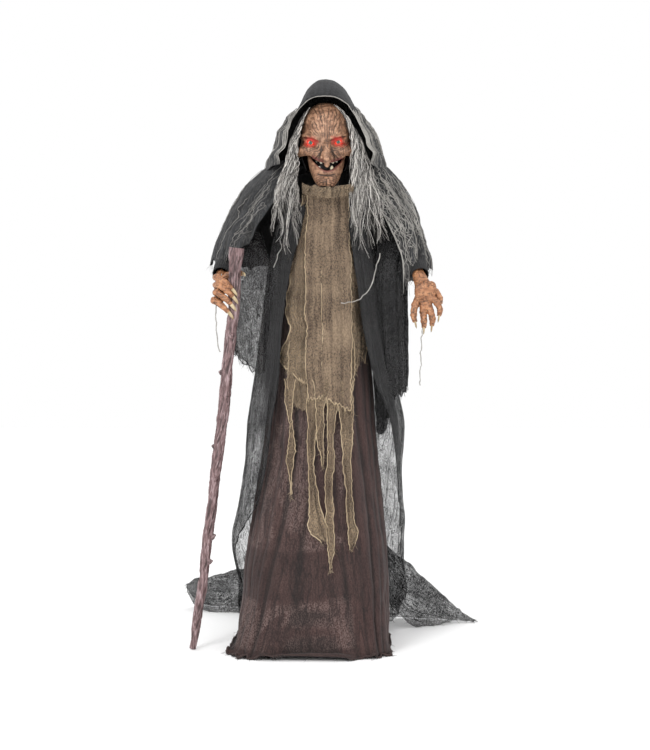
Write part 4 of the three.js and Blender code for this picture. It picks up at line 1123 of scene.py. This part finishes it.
def capelet():
    """Two halves that meet behind, because each follows its own arm. The left carries more web."""
    grid = capelet_grid(140, 261)
    middle = grid.shape[1] // 2
    halves = [
        (-1, "right", grid[:, :middle + 1], ["capelet"], 0.3, 24, [0.08, 0.2, 0.36, 0.5], 0.6),
        (1, "left", grid[:, middle:], (), 0.8, 70, [0.97, 0.93, 0.88, 0.82, 0.75, 0.6], 1.0),
    ]
    for side, hand, part, nodes, webbed, count, spots, thick in halves:
        name, arm = f"capelet_{hand}", f"arm_{hand}"
        front = step(-part[..., 1], -60, 60)
        web_share = mix(0.05, 0.5, front * step(np.abs(part[..., 0]), 90, 200)) * webbed
        obj = cloth(name, part, CAPELET_FLAT, [LOOKS["hood"], LOOKS["lining"]], thick=2.0, web=web_share)
        belongs(obj, "hood_cloth", None, nodes)
        web = web_strands(name + "_web", part, count, spots, 0.16, 105 + side, hang=60, thick=thick)
        belongs(web, "hood_cloth")
        frays = fringe(name + "_frays", part[-1], 60, (8, 34), LOOKS["web"], spread=0.4, seed=106 + side,
                       thick=0.55)
        belongs(frays, "hood_cloth")
        for soft in (obj, web, frays):
            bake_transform(soft, "stand", arm, start=(0, 0, 1.73), end=(0, 0, 1.56))
            set_attribute(soft, "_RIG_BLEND", arm_weight(points_of(soft), side))


def web_strands(name, grid, count, spots, long, seed, hang=0.0, thick=1.0):
    """Shredded pale threads that run kinked down a sheet, a little off it, and may hang past its
    hem. They gather at the given spots across the sheet, from 0 to 1."""
    draw = np.random.default_rng(seed + 900)
    rows, cols = grid.shape[:2]
    out = surface_normals(grid)
    flip = np.sign(np.sum(out * (grid - HOOD_MIDDLE), -1).mean())
    steps = 40
    t = np.linspace(0, 1, steps)
    paths = []
    for _ in range(count):
        u = draw.choice(spots) + draw.normal(0, 0.03)
        start = draw.uniform(0.0, 0.6)
        end = min(start + draw.uniform(long, 0.9), 1.0)
        far = at(t * 6, u * 40, draw.uniform(0, 9))
        wander = 0.03 * noise(far, 1.0, seed) + 0.013 * noise(far * (5, 1, 1), 1.0, seed + 1)
        column = np.clip((u + wander) * (cols - 1), 0, cols - 1.001)
        row = np.clip(mix(start, end, t) * (rows - 1), 0, rows - 1.001)
        i, j = row.astype(int), column.astype(int)
        i2, fi, fj = np.minimum(i + 1, rows - 1), (row - i)[:, None], (column - j)[:, None]
        upper = mix(grid[i, j], grid[i, np.minimum(j + 1, cols - 1)], fj)
        lower = mix(grid[i2, j], grid[i2, np.minimum(j + 1, cols - 1)], fj)
        path = mix(upper, lower, fi) + out[i, j] * flip * draw.uniform(2.0, 5)
        if hang and end >= 1.0:
            path[:, 2] -= draw.uniform(0, hang) * t ** 6
        paths.append(path)
    radii = thick * draw.uniform(0.6, 1.9, (count, 1)) * (1 - 0.6 * t[None] ** 2)
    return tubes(name, np.array(paths), radii, [LOOKS["web"]], 4)


# ---------- hair ----------
HAIR_STEPS = 44
HAIR_SIDES = 4
CLUMPS = 8
CURL = 9.0


def lock(draw, guide, width, count):
    """Kinked strands in clumps that follow a guide, close at the root and spread below."""
    path = spline(guide, HAIR_STEPS)
    t = np.linspace(0, 1, HAIR_STEPS)
    kink = at(np.sin(t * 30 + draw.uniform(0, 6)), 0.5 * np.cos(t * 26))
    strands = []
    clumps = draw.normal(0, 0.85, (CLUMPS, 2))
    for k in range(count):
        aside = clumps[k % CLUMPS] + draw.normal(0, 0.22, 2)
        spread = np.array([aside[0], aside[1] * 0.6, 0]) * width
        reach = draw.uniform(0.7, 1.0)
        s = t * reach * (HAIR_STEPS - 1)
        i = np.minimum(s.astype(int), HAIR_STEPS - 2)
        line = path[i] + (path[i + 1] - path[i]) * (s - i)[:, None]
        swell = mix(0.35, 1.0, np.clip(t * 1.6, 0, 1)) * (1 - 0.55 * step(t, 0.75, 1))
        phase = 2.1 * (k % CLUMPS) + draw.normal(0, 0.5)
        spiral = at(np.sin(t * 24 + phase), 0.6 * np.cos(t * 24 + phase))
        curl = CURL * draw.uniform(0.5, 0.9) * t[:, None] * spiral
        loose = 10 * t[:, None] * shake(line + spread * 7, 50.0, 1)
        strands.append(line + spread * swell[:, None] + curl + 6.5 * t[:, None] * kink + loose)
    return strands


def hair():
    taper = 1 - 0.7 * np.linspace(0, 1, HAIR_STEPS) ** 3
    sides = {
        "hair_locks_right": ("hair_right", [
            ([[-62, -156, 1992], [-92, -180, 1900], [-102, -200, 1800], [-90, -222, 1700],
              [-84, -232, 1575]], 4, 42),
            ([[-60, -160, 1996], [-94, -182, 1900], [-108, -204, 1800], [-104, -228, 1690],
              [-92, -240, 1500]], 6, 46),
            ([[-62, -158, 1996], [-98, -180, 1900], [-118, -204, 1800], [-126, -228, 1680],
              [-124, -246, 1440]], 6, 44),
            ([[-64, -156, 1990], [-104, -178, 1900], [-126, -204, 1800], [-148, -226, 1680],
              [-160, -244, 1500]], 7, 40),
            ([[-66, -154, 1984], [-110, -174, 1890], [-134, -200, 1790], [-162, -222, 1680],
              [-182, -238, 1520]], 7, 34),
            ([[-44, -156, 2014], [-76, -172, 1960], [-97, -186, 1880], [-99, -202, 1790],
              [-94, -218, 1700]], 3, 26),
        ]),
        "hair_locks_left": ("hair_left", [
            ([[44, -158, 2022], [84, -172, 1985], [114, -184, 1900], [120, -202, 1800], [114, -228, 1660],
              [112, -240, 1520]], 5, 44),
            ([[52, -156, 2020], [94, -170, 1970], [120, -184, 1890], [128, -204, 1790], [126, -230, 1640],
              [130, -244, 1480]], 7, 50),
            ([[56, -156, 2014], [100, -170, 1960], [122, -184, 1880], [134, -206, 1780], [146, -238, 1630],
              [156, -264, 1450]], 8, 54),
            ([[60, -154, 2008], [106, -166, 1950], [130, -180, 1880], [146, -202, 1780], [168, -238, 1640],
              [184, -264, 1478]], 8, 52),
            ([[64, -150, 2000], [112, -162, 1940], [138, -176, 1870], [158, -198, 1770], [190, -234, 1640],
              [212, -258, 1490]], 8, 46),
            ([[66, -146, 1990], [118, -158, 1930], [148, -172, 1860], [172, -192, 1770], [210, -226, 1650],
              [236, -250, 1510]], 7, 32),
        ]),
    }
    for name, (node, locks) in sides.items():
        draw = np.random.default_rng(len(name))
        strands = [s for guide, width, count in locks for s in lock(draw, guide, width, count)]
        radii = draw.uniform(0.55, 1.25, (len(strands), 1)) * taper
        obj = tubes(name, np.array(strands), radii, [LOOKS["hair"]], HAIR_SIDES)
        tone = np.clip(draw.normal(0.6, 0.32, len(strands)), 0, 1)
        tone = np.where(draw.uniform(size=len(strands)) < 0.25, tone * 0.2, tone)
        set_attribute(obj, "tone", np.repeat(tone, HAIR_STEPS * HAIR_SIDES))
        belongs(obj, "hair_fibre", None, [node])
        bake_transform(obj, "stand", "head", start=(0, 0, 1.62), end=(0, 0, 1.84))


def loose_threads():
    """Single frayed threads that hang from the capelet and cross the apron. One with two bodies
    is held by the first below and goes with the second above."""
    threads = {
        "thread_hand_right": (["arm_right"],
                              [[-366, -236, 1396], [-384, -242, 1330], [-388, -240, 1230],
                               [-380, -238, 1130], [-372, -238, 1112]], 2.0),
        "thread_hand_left": (["arm_left"],
                             [[376, -222, 1262], [372, -226, 1200], [366, -226, 1140], [364, -226, 1040],
                              [362, -226, 985]], 2.0),
        "thread_apron": (["stand", "arm_left"],
                         [[214, -256, 1470], [196, -258, 1410], [180, -260, 1352], [140, -264, 1306],
                          [100, -266, 1292], [70, -266, 1290]], 1.8),
        "thread_chest": (["stand"], [[-150, -236, 1520], [-148, -240, 1490], [-158, -240, 1470],
                                     [-170, -238, 1440], [-176, -236, 1420]], 1.4),
    }
    for name, (bodies, path, radius) in threads.items():
        line = spline(path, 60)
        line = line + 3.0 * shake(line, 14.0, 5)
        obj = tubes(name, line[None], radius * (1 + 0.3 * noise(line, 8.0, 3))[None], [LOOKS["web"]], 6)
        if len(bodies) == 1:
            belongs(obj, "hair_fibre", *bodies)
        else:
            belongs(obj, "hair_fibre")
            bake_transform(obj, *bodies, start=(0, 0, 1.29), end=(0, 0, 1.47))


# ---------- face ----------
FACE_X = 15
FACE_Y = -110
FACE_FRONT = -150
MOUTH_X = 19
# The height of each lip in the middle, and how far it rises to the corners of the mouth.
UPPER_LIP, UPPER_RISE = 1807, 18
LOWER_LIP, LOWER_RISE = 1773, 44
EYE_RADIUS = 14.4
LID_SLANT = 0.34
# Height, half width and half depth of the plain head.
HEAD = [
    [1745, 58, 88], [1775, 68, 98], [1800, 78, 103], [1830, 89, 106], [1852, 94, 106], [1880, 92, 99],
    [1910, 91, 104], [1950, 86, 98], [1988, 74, 84], [2016, 52, 58], [2030, 26, 30],
]
read_head = reader(HEAD)
EYES = {side: middle_of(f"eye_{side}") for side in ("right", "left")}


def eye_axes(x, z, sign):
    """Place by an eye, outwards and upwards along its slanting lids."""
    eye = EYES["left" if sign > 0 else "right"]
    u, v = (x - eye[0]) * sign, z - eye[2]
    return u, v - LID_SLANT * u


def face_relief(x, z):
    """How far the mask stands out from a plain head, in mm."""
    out = 14 * hill(x, z, 19, 1876, 11, 24) + 15 * hill(x, z, 19, 1842, 16, 22)
    for sign in (-1, 1):
        u, v = eye_axes(x, z, sign)
        out = out + 15 * hill(u, v, 2, 20, 30, 8)
        out = out - 15 * hill(u, v, 0, -2, 23, 12)
        out = out - 5 * hill(u, v, -14, 12, 10, 10)
        out = out + 5 * hill(u, v, 0, -19, 24, 6)
        out = out + 27 * hill(x, z, FACE_X + sign * 72, 1850, 26, 17)
        out = out - 8 * hill(x, z, FACE_X + sign * 34, 1824, 12, 9)
        out = out - 6 * hill(x, z, FACE_X + sign * 66, 1928, 18, 26)
    return out + 7 * hill(x, z, 17, 1950, 50, 30)


def face_creases(p):
    """Wrinkles of the mask: less than 0 in a groove."""
    x, _, z = p.T
    off = np.abs(x - 18)
    stir = noise(p, 22.0, 31) + 0.5 * noise(p, 9.0, 32)
    deep = np.zeros(len(p))
    # Cracks fan out over the forehead from between the brows, and break up as they spread.
    fan = np.arctan2(x - 18, z - 1850)
    forehead = step(z, 1896, 1912) * step(z, 2028, 2004)
    rays = np.maximum(np.sin(2 * np.pi * (fan / 0.11 + 0.45 * stir)), 0) ** 3
    crazing = np.maximum(1 - 5 * np.abs(noise(p, (10, 10, 7), 34) + 0.3 * noise(p, 4.0, 35)), 0)
    deep -= forehead * (2.0 * rays * step(off, 92, 40) * (0.6 + 0.4 * noise(p, 20.0, 37)) + 0.5 * crazing)
    knot = hill(x, z, 18, 1906, 12, 22)
    deep -= 2.6 * knot * np.maximum(np.sin(2 * np.pi * (x - 18 + 2 * stir) / 9), 0)
    deep -= 1.8 * hill(x, z, 18, 1880, 14, 9) * np.maximum(np.sin(2 * np.pi * z / 6), 0)
    deep -= 0.8 * crazing * step(z, 1900, 1880)
    # Grooves that set the wings of the nose off from the cheeks.
    wing = mix(17, 28, np.clip((1862 - z) / 44, 0, 1))
    deep -= 2.8 * np.exp(-((off - wing) / 3.2) ** 2) * step(z, 1806, 1814) * step(z, 1868, 1850)
    for sign in (-1, 1):
        u, v = eye_axes(x, z, sign)
        far = np.hypot(u / 1.3, v)
        bags = step(far, 15, 19) * step(far, 44, 32) * step(v, 8, -4)
        deep -= 1.6 * bags * np.maximum(np.sin(2 * np.pi * (far + 2.5 * stir) / 7), 0) ** 1.5
        deep -= 3.0 * np.exp(-((v - 12.5) / 2.2) ** 2) * step(np.abs(u), 30, 22)
        # A deep line runs from the wing of the nose round the cheek to the corner of the mouth.
        line = (x - 18) * sign - mix(20, 52, np.clip((1842 - z) / 34, 0, 1))
        deep -= 3.4 * np.exp(-(line / 3.0) ** 2) * step(z, 1850, 1836)
        cheek = hill(x, z, FACE_X + sign * 66, 1848, 26, 16)
        deep -= 1.3 * cheek * np.maximum(np.sin(2 * np.pi * (line + 4 * stir) / 10), 0) ** 2
    return deep + 0.6 * rough(p, 7.0, 33, 3)


def mouth_corner_lift(x):
    """How far the mouth rises towards its corners."""
    return np.clip(np.abs(x - 22) / 53, 0, 1.25) ** 2


def features():
    """The nose, its wings and folds, the upper lip and the eyelids."""
    parts = [tube("nose", [[18, -212, 1884], [18, -230, 1858], [19, -246, 1832], [19, -255, 1808],
                           [19, -250, 1788]],
                  [8, 10.5, 13, 11.5, 6.5], count=24, sides=20)]
    parts.append(ball("nose_tip", (19, -250, 1796), (10, 11, 13)))
    for sign in (-1, 1):
        parts.append(ball("wing", (19 + sign * 16, -226, 1820), (11, 15, 9.5)))
        parts.append(tube("fold", [[19 + sign * 20, -216, 1840], [19 + sign * 34, -206, 1828],
                                   [19 + sign * 46, -192, 1822]],
                          [6, 7, 5], count=14, sides=10))
        parts.append(tube("upper_lip", [[19 + sign * 4, -214, 1807], [19 + sign * 26, -206, 1811],
                                        [19 + sign * 50, -188, 1824]],
                          [4, 4.2, 3], count=14, sides=10))
        eye = EYES["left" if sign > 0 else "right"]
        for lid, thick in ((10.5, 4.2), (-9.5, 3.2)):
            arc = [[eye[0] + sign * k * 18, eye[1] - 14 + 6 * k * k, eye[2] + lid * (1 - k * k) + 6.1 * k]
                   for k in (-1, -0.5, 0, 0.5, 1)]
            parts.append(tube("lid", arc, [2.6, thick, thick, thick, 2.6], count=18, sides=8))
    return parts


def mask():
    rows, cols = 190, 210
    z = np.linspace(1796, 2030, rows)[:, None]
    angle = np.radians(np.linspace(-92, 92, cols))[None]
    half, depth = read_head(z)
    plain = FACE_X + half * np.sin(angle)
    out = face_relief(plain, z + 0 * plain)
    x = plain + out * np.sin(angle) * step(np.abs(np.degrees(angle)), 25, 60)
    ahead = depth + out * np.clip(np.cos(angle), 0, 1) ** 0.4
    grid = at(x, FACE_Y - ahead * np.cos(angle), z)
    centre = (grid[:-1, :-1] + grid[1:, 1:]) / 2
    cx, cz = centre[..., 0], centre[..., 2]
    keep = cz > UPPER_LIP - 2 + UPPER_RISE * mouth_corner_lift(cx)
    for sign in (-1, 1):
        u, v = eye_axes(cx, cz, sign)
        keep &= (np.abs(u) > 16) | (np.abs(v + 0.5) > 8.5 * np.sqrt(np.clip(1 - (u / 16) ** 2, 0, 1)))
    parts = [cloth("mask_sheet", grid, (0.3, 0.3), [LOOKS["face"]], keep=keep, thick=5.0), *features()]
    obj = merged("face_skin", parts, 1.6, [LOOKS["face"]])
    points, out = points_of(obj), normals_of(obj)
    front = step(-out[:, 1], 0.0, 0.5)
    creases = face_creases(points) * front
    set_points(obj, points + out * creases[:, None])
    paint_mask(obj, points, creases)
    lips = UPPER_LIP + UPPER_RISE * mouth_corner_lift(points[:, 0])
    aside = np.abs(points[:, 0] - MOUTH_X)
    set_attribute(obj, "lip", np.exp(-((points[:, 2] - lips) / 5) ** 2) * (aside > 13) * (aside < 54))
    belongs(obj, "face_skin", "head", ["face_mask"])


def wash(obj, creases):
    """Puts the brown wash in the creases, and on the face also the painted shade that paint_mask adds to
    them.
    """
    set_attribute(obj, "wash", np.clip(-creases / 1.5, 0, 1) ** 0.8)


def paint_mask(obj, points, creases):
    """Puts the wash in the creases, painted shade under the brows, at the inner corners of the eyes and
    below them, and the red light round the eyes.
    """
    x, y, z = points.T
    in_front = y < FACE_FRONT
    glow = np.zeros(len(points))
    for eye in EYES.values():
        far = np.hypot((x - eye[0]) / 1.35, z - eye[2])
        patchy = 1 + 0.3 * noise(points, 9.0, 36)
        glow = np.maximum(glow, step(far * patchy, 26, 6) * in_front)
    for sign in (-1, 1):
        u, v = eye_axes(x, z, sign)
        # Painted shade under the brows, at the inner corner of each eye and below it, carried in the same
        # wash as the creases.
        socket_shade = 0.8 * hill(u, v, -4, 13, 24, 3.5) + 0.5 * hill(u, v, -15, 4, 6, 12)
        socket_shade = socket_shade + 0.4 * hill(u, v, 0, -14, 22, 4)
        creases = creases - 1.5 * socket_shade * in_front
    wash(obj, creases)
    set_attribute(obj, "glow", glow)


def eyes():
    for side, eye in EYES.items():
        obj = ball(f"eye_glow_{side}", eye, (EYE_RADIUS,) * 3, [LOOKS["eye"]], rings=32)
        points = points_of(obj)
        off = np.hypot(points[:, 0] - eye[0], points[:, 2] - eye[2])
        cornea = np.clip(1 - (off / 6) ** 2, 0, 1) * (points[:, 1] < eye[1])
        points[:, 1] -= 1.2 * cornea
        set_points(obj, points)
        set_attribute(obj, "ring", np.where(points[:, 1] < eye[1], off / EYE_RADIUS, 1))
        belongs(obj, "eyes", "head", [f"eye_{side}"])


# Height, half width, half depth and centre y of the jaw.
JAW = [
    [1716, 10, 16, -200], [1722, 26, 34, -190], [1732, 36, 48, -180], [1748, 45, 60, -164],
    [1768, 53, 67, -150], [1796, 62, 70, -138], [1846, 70, 60, -124],
]
read_jaw = reader(JAW)


def jaw():
    rows, cols = 120, 170
    t = top_to_bottom(rows)
    angle = np.radians(np.linspace(-98, 98, cols))[None]
    # The top edge is the lower lip, low in front, and rises past the corners of the mouth.
    lip_x = FACE_X + 4 + 60 * np.sin(angle)
    top = mix(LOWER_LIP - 2 + LOWER_RISE * mouth_corner_lift(lip_x), 1842,
              step(np.abs(np.degrees(angle)), 58, 84))
    z = mix(1720.0, top, t)
    half, depth, cy = read_jaw(z)
    x = FACE_X + 2 + half * np.sin(angle)
    out = 8 * hill(x, z, 7, 1735, 10, 10) + 8 * hill(x, z, 28, 1735, 10, 10)
    out = out - 5 * hill(x, z, 17, 1755, 30, 6) + 5 * hill(x, z, 17, 1775, 40, 7)
    grid = at(x, cy - (depth + out) * np.cos(angle), z)
    parts = [cloth("jaw_sheet", grid, (0.3, 0.15), [LOOKS["face"]], thick=5.0)]
    rail = grid[-1][26:-26:9] + (0, 1.0, 0)
    parts.append(tube("lower_lip", rail, np.full(len(rail), 3.8), count=60, sides=10))
    obj = merged("jaw_skin", parts, 1.6, [LOOKS["face"]])
    points, out = points_of(obj), normals_of(obj)
    front = step(-out[:, 1], -0.2, 0.4)
    x, _, z = points.T
    bowl = 0.006 * (x - 17) ** 2
    off = np.abs(x - 17)
    stir = noise(points, 16.0, 41)
    crazing = np.maximum(1 - 5 * np.abs(noise(points, (13, 13, 10), 43)), 0)
    deep = -1.4 * crazing * step(z, 1774, 1766)
    rings = np.maximum(np.sin(2 * np.pi * (z + bowl + 3 * stir) / 9), 0) ** 2
    deep -= 1.4 * rings * step(z, 1764, 1752) * step(off, 4, 14)
    deep -= 2.6 * np.exp(-((z - 1757 - bowl) / 2.5) ** 2) * step(off, 40, 26)
    deep -= 2.4 * np.exp(-((x - 17 - stir) / 2.2) ** 2) * step(z, 1748, 1740)
    deep += 0.5 * rough(points, 6.0, 42, 3)
    deep *= front
    set_points(obj, points + out * deep[:, None])
    wash(obj, deep)
    lips = LOWER_LIP + LOWER_RISE * mouth_corner_lift(points[:, 0])
    set_attribute(obj, "lip", np.exp(-((z - lips) / 6) ** 2) * (points[:, 1] < FACE_FRONT))
    belongs(obj, "face_skin", "jaw", ["jaw_shell"])


def teeth():
    sets = {"teeth_upper": ("upper_teeth", "head", 1818, -1,
                            [(-20, 8, 4.5), (-3, 16, 6.5), (40, 15, 6.5), (54, 9, 5)]),
            "teeth_lower": ("lower_teeth", "jaw", 1775, 1, [(-10, 19, 7), (37, 20, 7), (50, 11, 5)])}
    for name, (node, body, gum, way, pegs) in sets.items():
        arc = [[x, -192 + 20 * ((x - 18) / 36) ** 2, gum] for x in (-22, 0, 18, 36, 58)]
        parts = [tube("gum", arc, [5, 6, 6, 6, 5], count=30, sides=10)]
        for x, tall, wide in pegs:
            y = -194 + 20 * ((x - 18) / 36) ** 2
            parts.append(tube("peg", [[x, y, gum], [x + 0.5, y - 1, gum + way * tall * 0.6],
                                      [x + 1, y, gum + way * tall]],
                              [wide, wide * 0.9, wide * 0.35], count=10, sides=12))
        obj = merged(name, parts, 1.0, [LOOKS["tooth"], LOOKS["mouth"]], rounds=1)
        on_gum = np.array([abs(p.center.z / MM - gum) < 6.5 for p in obj.data.polygons])
        obj.data.polygons.foreach_set("material_index", on_gum.astype(np.int32))
        belongs(obj, "teeth", body, [node])


def mouth_lining():
    """The dark inside of the mouth."""
    rows, cols = 30, 60
    t = top_to_bottom(rows)
    angle = np.radians(np.linspace(-90, 90, cols))[None]
    z = mix(1784.0, 1838.0, t) + 0 * angle
    lumps = 3 * noise(at(angle * 6, z / 9), 1.0, 3)
    grid = at(17 + 44 * np.sin(angle), -128 - 32 * np.cos(angle) + lumps, z)
    obj = cloth("mouth_lining", grid, LINING_FLAT, [LOOKS["mouth"]], thick=2.0)
    belongs(obj, "black_plastic", "head")


# ---------- hands ----------
def nail(name, path, width, body):
    """A long curved claw."""
    obj = tube(name, path, [width, width * 0.95, width * 0.7, 0.6], [LOOKS["nail"]], count=20, sides=12,
               squash=0.55)
    belongs(obj, "hand_skin", body)


def hand_skin(name, parts, body, node):
    """Joins the parts of a hand and wrinkles its skin."""
    obj = merged(name, parts, 1.7, [LOOKS["hand"]], rounds=4)
    points, out = points_of(obj), normals_of(obj)
    folds = rough(points, (16, 16, 10), 51, 4)
    creases = -1.3 * np.maximum(1 - 4 * np.abs(folds), 0) + 0.6 * rough(points, 8.0, 52, 3)
    set_points(obj, points + out * creases[:, None])
    wash(obj, creases)
    belongs(obj, "hand_skin", body, [node])


def finger(path, radii, parts):
    """A digit with swollen knuckles."""
    parts.append(tube("digit", path, radii, count=26, sides=14))
    for joint, radius in zip(path[1:-1], radii[1:-1]):
        parts.append(ball("knuckle", joint, (radius * 1.12,) * 3, rings=12))


def right_hand():
    """Closed round the cane."""
    parts = [ball("palm", (-378, -196, 1330), (20, 26, 52)),
             tube("wrist", [[-373, -130, 1404], [-376, -160, 1378], [-378, -190, 1345]], [19, 19, 22],
                  count=16)]
    for k, back in enumerate((0, -3, 4, 14)):
        z = 1388 - 28 * k
        finger([[-392, -208, z - 4], [-380 - back, -246, z - 4], [-350 - back, -260, z - 24],
                [-327 - back, -257, z - 46]],
               [12, 12.5, 11, 8.5], parts)
        claw = [[-329, -260, z - 44], [-320, -258, z - 55], [-313, -254, z - 65], [-309, -249, z - 74]]
        nail(f"nail_right_{k + 1}", [[x - back, y, height] for x, y, height in claw], 6.5, "arm_right")
    finger([[-380, -178, 1368], [-350, -174, 1392], [-314, -186, 1402], [-292, -208, 1398]],
           [13, 12.5, 11, 8.5], parts)
    nail("nail_right_thumb", [[-292, -210, 1399], [-286, -222, 1397], [-282, -232, 1393],
                              [-281, -240, 1387]], 7, "arm_right")
    hand_skin("hand_flesh_right", parts, "arm_right", "hand_right")


def left_hand():
    """Open, with its palm to the front."""
    parts = [ball("palm", (382, -196, 1332), (40, 18, 44)),
             tube("wrist", [[356, -136, 1410], [362, -166, 1388], [374, -188, 1356]], [22, 25, 30],
                  count=16),
             ball("heel", (406, -194, 1344), (18, 16, 28)), ball("heel", (360, -194, 1340), (18, 16, 30))]
    digits = [
        ([[360, -198, 1318], [344, -214, 1282], [338, -224, 1246], [344, -220, 1220]], [14, 13.5, 12, 9]),
        ([[374, -200, 1296], [374, -216, 1258], [376, -226, 1224], [376, -220, 1198]], [14, 13.5, 12, 9]),
        ([[391, -200, 1296], [400, -216, 1262], [407, -226, 1232], [405, -220, 1206]], [14, 13, 12, 9]),
        ([[404, -198, 1312], [424, -210, 1292], [435, -218, 1266], [432, -213, 1242]], [13, 12.5, 11, 8.5]),
        ([[396, -180, 1346], [422, -180, 1332], [437, -186, 1308], [438, -190, 1286]], [13, 12.5, 11, 9]),
    ]
    for k, (path, radii) in enumerate(digits):
        finger(path, radii, parts)
        tip, before = np.array(path[-1]), np.array(path[-2])
        way = (tip - before) / np.linalg.norm(tip - before)
        claw = [tip + way * reach + (0, bend, 0) for reach, bend in ((-4, -5), (9, -4), (18, 1), (25, 6))]
        nail(f"nail_left_{k + 1}", claw, 6.5, "palm_left")
    hand_skin("hand_flesh_left", parts, "palm_left", "hand_left")


# ---------- cane ----------
# The heights of the ends and seams of its three sections, and the gap at a seam.
CANE_SEAMS = [1492, 948, 452, 2]
SEAM_GAP = 0.4
# Centre x, centre y, height and radius down the cane.
CANE = [
    [-311, -230, 1492, 28], [-316, -229, 1450, 26], [-320, -229, 1400, 23], [-323, -227, 1268, 20.5],
    [-333, -226, 1190, 20.5], [-346, -224, 1070, 20], [-357, -222, 948, 21.5], [-372, -220, 815, 20],
    [-390, -219, 690, 19.5], [-404, -217, 560, 18.5], [-419, -215, 452, 19], [-431, -214, 360, 17],
    [-443, -212, 245, 16.5], [-459, -211, 150, 17], [-481, -209, 2, 11],
]


def bark_surface(path, radii, name, node):
    """A length of moulded bark: twisting ridges, lumps, and a rolled lip at each end."""
    cols = 72
    angle = once_round(cols)
    along = unit(np.gradient(path, axis=0))
    side = unit(np.cross(along, [0, 1, 0]))
    other = np.cross(along, side)
    spin = angle + path[:, 2:3] / 130
    spot = at(np.cos(spin) * 26, np.sin(spin) * 26, path[:, 2:3] * 0.28)
    ridges = 1 - 2 * np.abs(rough(spot, 13.0, 55, 4))
    relief = 2.9 * ridges + 1.8 * rough(spot * (1, 1, 2), 26.0, 56, 2)
    radius = radii[:, None] - 1.5 + relief
    sine, cosine = np.sin(angle)[..., None], np.cos(angle)[..., None]
    grid = path[:, None] + radius[..., None] * (side[:, None] * cosine + other[:, None] * sine)
    lip = (0.05, 0.55, 0.93)
    top = [mix(path[0], grid[0], k) for k in lip]
    bottom = [mix(path[-1], grid[-1], k) for k in lip[::-1]]
    whole = np.concatenate([top, grid, bottom])
    obj = build(name, whole, capped_faces(len(whole), cols), [LOOKS["bark"]])
    grooves = np.clip(0.35 - relief / 3.0, 0, 1).ravel()
    ends = np.full(len(lip) * cols, 0.1)
    set_attribute(obj, "wash", np.concatenate([ends, grooves, ends]))
    belongs(obj, "cane_plastic", "cane", [node])


def knot(name, centre, out, size):
    """A broken-off twig: a stub with a swollen foot."""
    centre, out = np.array(centre, float), np.array(out, float)
    out /= np.linalg.norm(out)
    foot = ball("foot", centre + out, (size * 1.5, size * 1.3, size * 1.7), rings=14)
    twig = [centre, centre + out * size * 1.2, centre + out * size * 2 + (0, 0, size * 0.5)]
    stub = tube("stub", twig, [size, size * 0.8, size * 0.55], count=10)
    obj = merged(name, [foot, stub], 1.5, [LOOKS["bark"]])
    points, away = points_of(obj), normals_of(obj)
    relief = 1.2 * rough(points, 7.0, 57, 3)
    set_points(obj, points + away * relief[:, None])
    set_attribute(obj, "wash", np.clip(0.3 - relief, 0, 1))
    belongs(obj, "cane_plastic", "cane")


def cane():
    table = spline(CANE, 900)
    for k, section in enumerate(("top", "middle", "bottom")):
        heights = np.linspace(CANE_SEAMS[k] - (SEAM_GAP if k else 0), CANE_SEAMS[k + 1], 60)
        part = np.stack([np.interp(heights, table[::-1, 2], column[::-1]) for column in table.T], -1)
        part = spline(part, 190)
        bark_surface(part[:, :3], part[:, 3], f"cane_bark_{section}", f"cane_{section}")
    # Height, direction and size of each knot.
    knots = [(1030, (-1, -0.4, 0.2), 7), (760, (-1, -0.3, 0.1), 6), (640, (0.2, -1, 0.1), 7),
             (420, (1, -0.3, 0.3), 8), (330, (1, -0.2, 0.1), 7), (1170, (0.3, -1, 0), 7)]
    for k, (z, way, size) in enumerate(knots):
        row = table[np.argmin(np.abs(table[:, 2] - z))]
        way = np.array(way) / np.linalg.norm(way)
        knot(f"cane_knot_{k + 1}", row[:3] + way * row[3] * 0.85, way, size)


FLOOR_REACH = 9000


def floor():
    rows = cols = 60
    line = np.linspace(-FLOOR_REACH, FLOOR_REACH, rows)
    x, y = np.meshgrid(line, line)
    look = Look("floor_paint")
    tone = look.spots(0.8, detail=3)
    look.feed(Base_Color=look.ramp(tone, (0.3, rgb(246, 246, 246)), (0.7, rgb(250, 250, 250))),
              Roughness=look.ramp(tone, (0.3, 0.85), (0.7, 0.95)))
    obj = build("floor", at(x, y, -0.5), grid_faces(rows, cols).tolist(), [look.material])


camera()
studio()
floor()
dress_frame()
robe()
gauze()
cloak()
tails()
sleeves()
hood()
capelet()
hair()
loose_threads()
mask()
eyes()
jaw()
teeth()
mouth_lining()
right_hand()
left_hand()
cane()
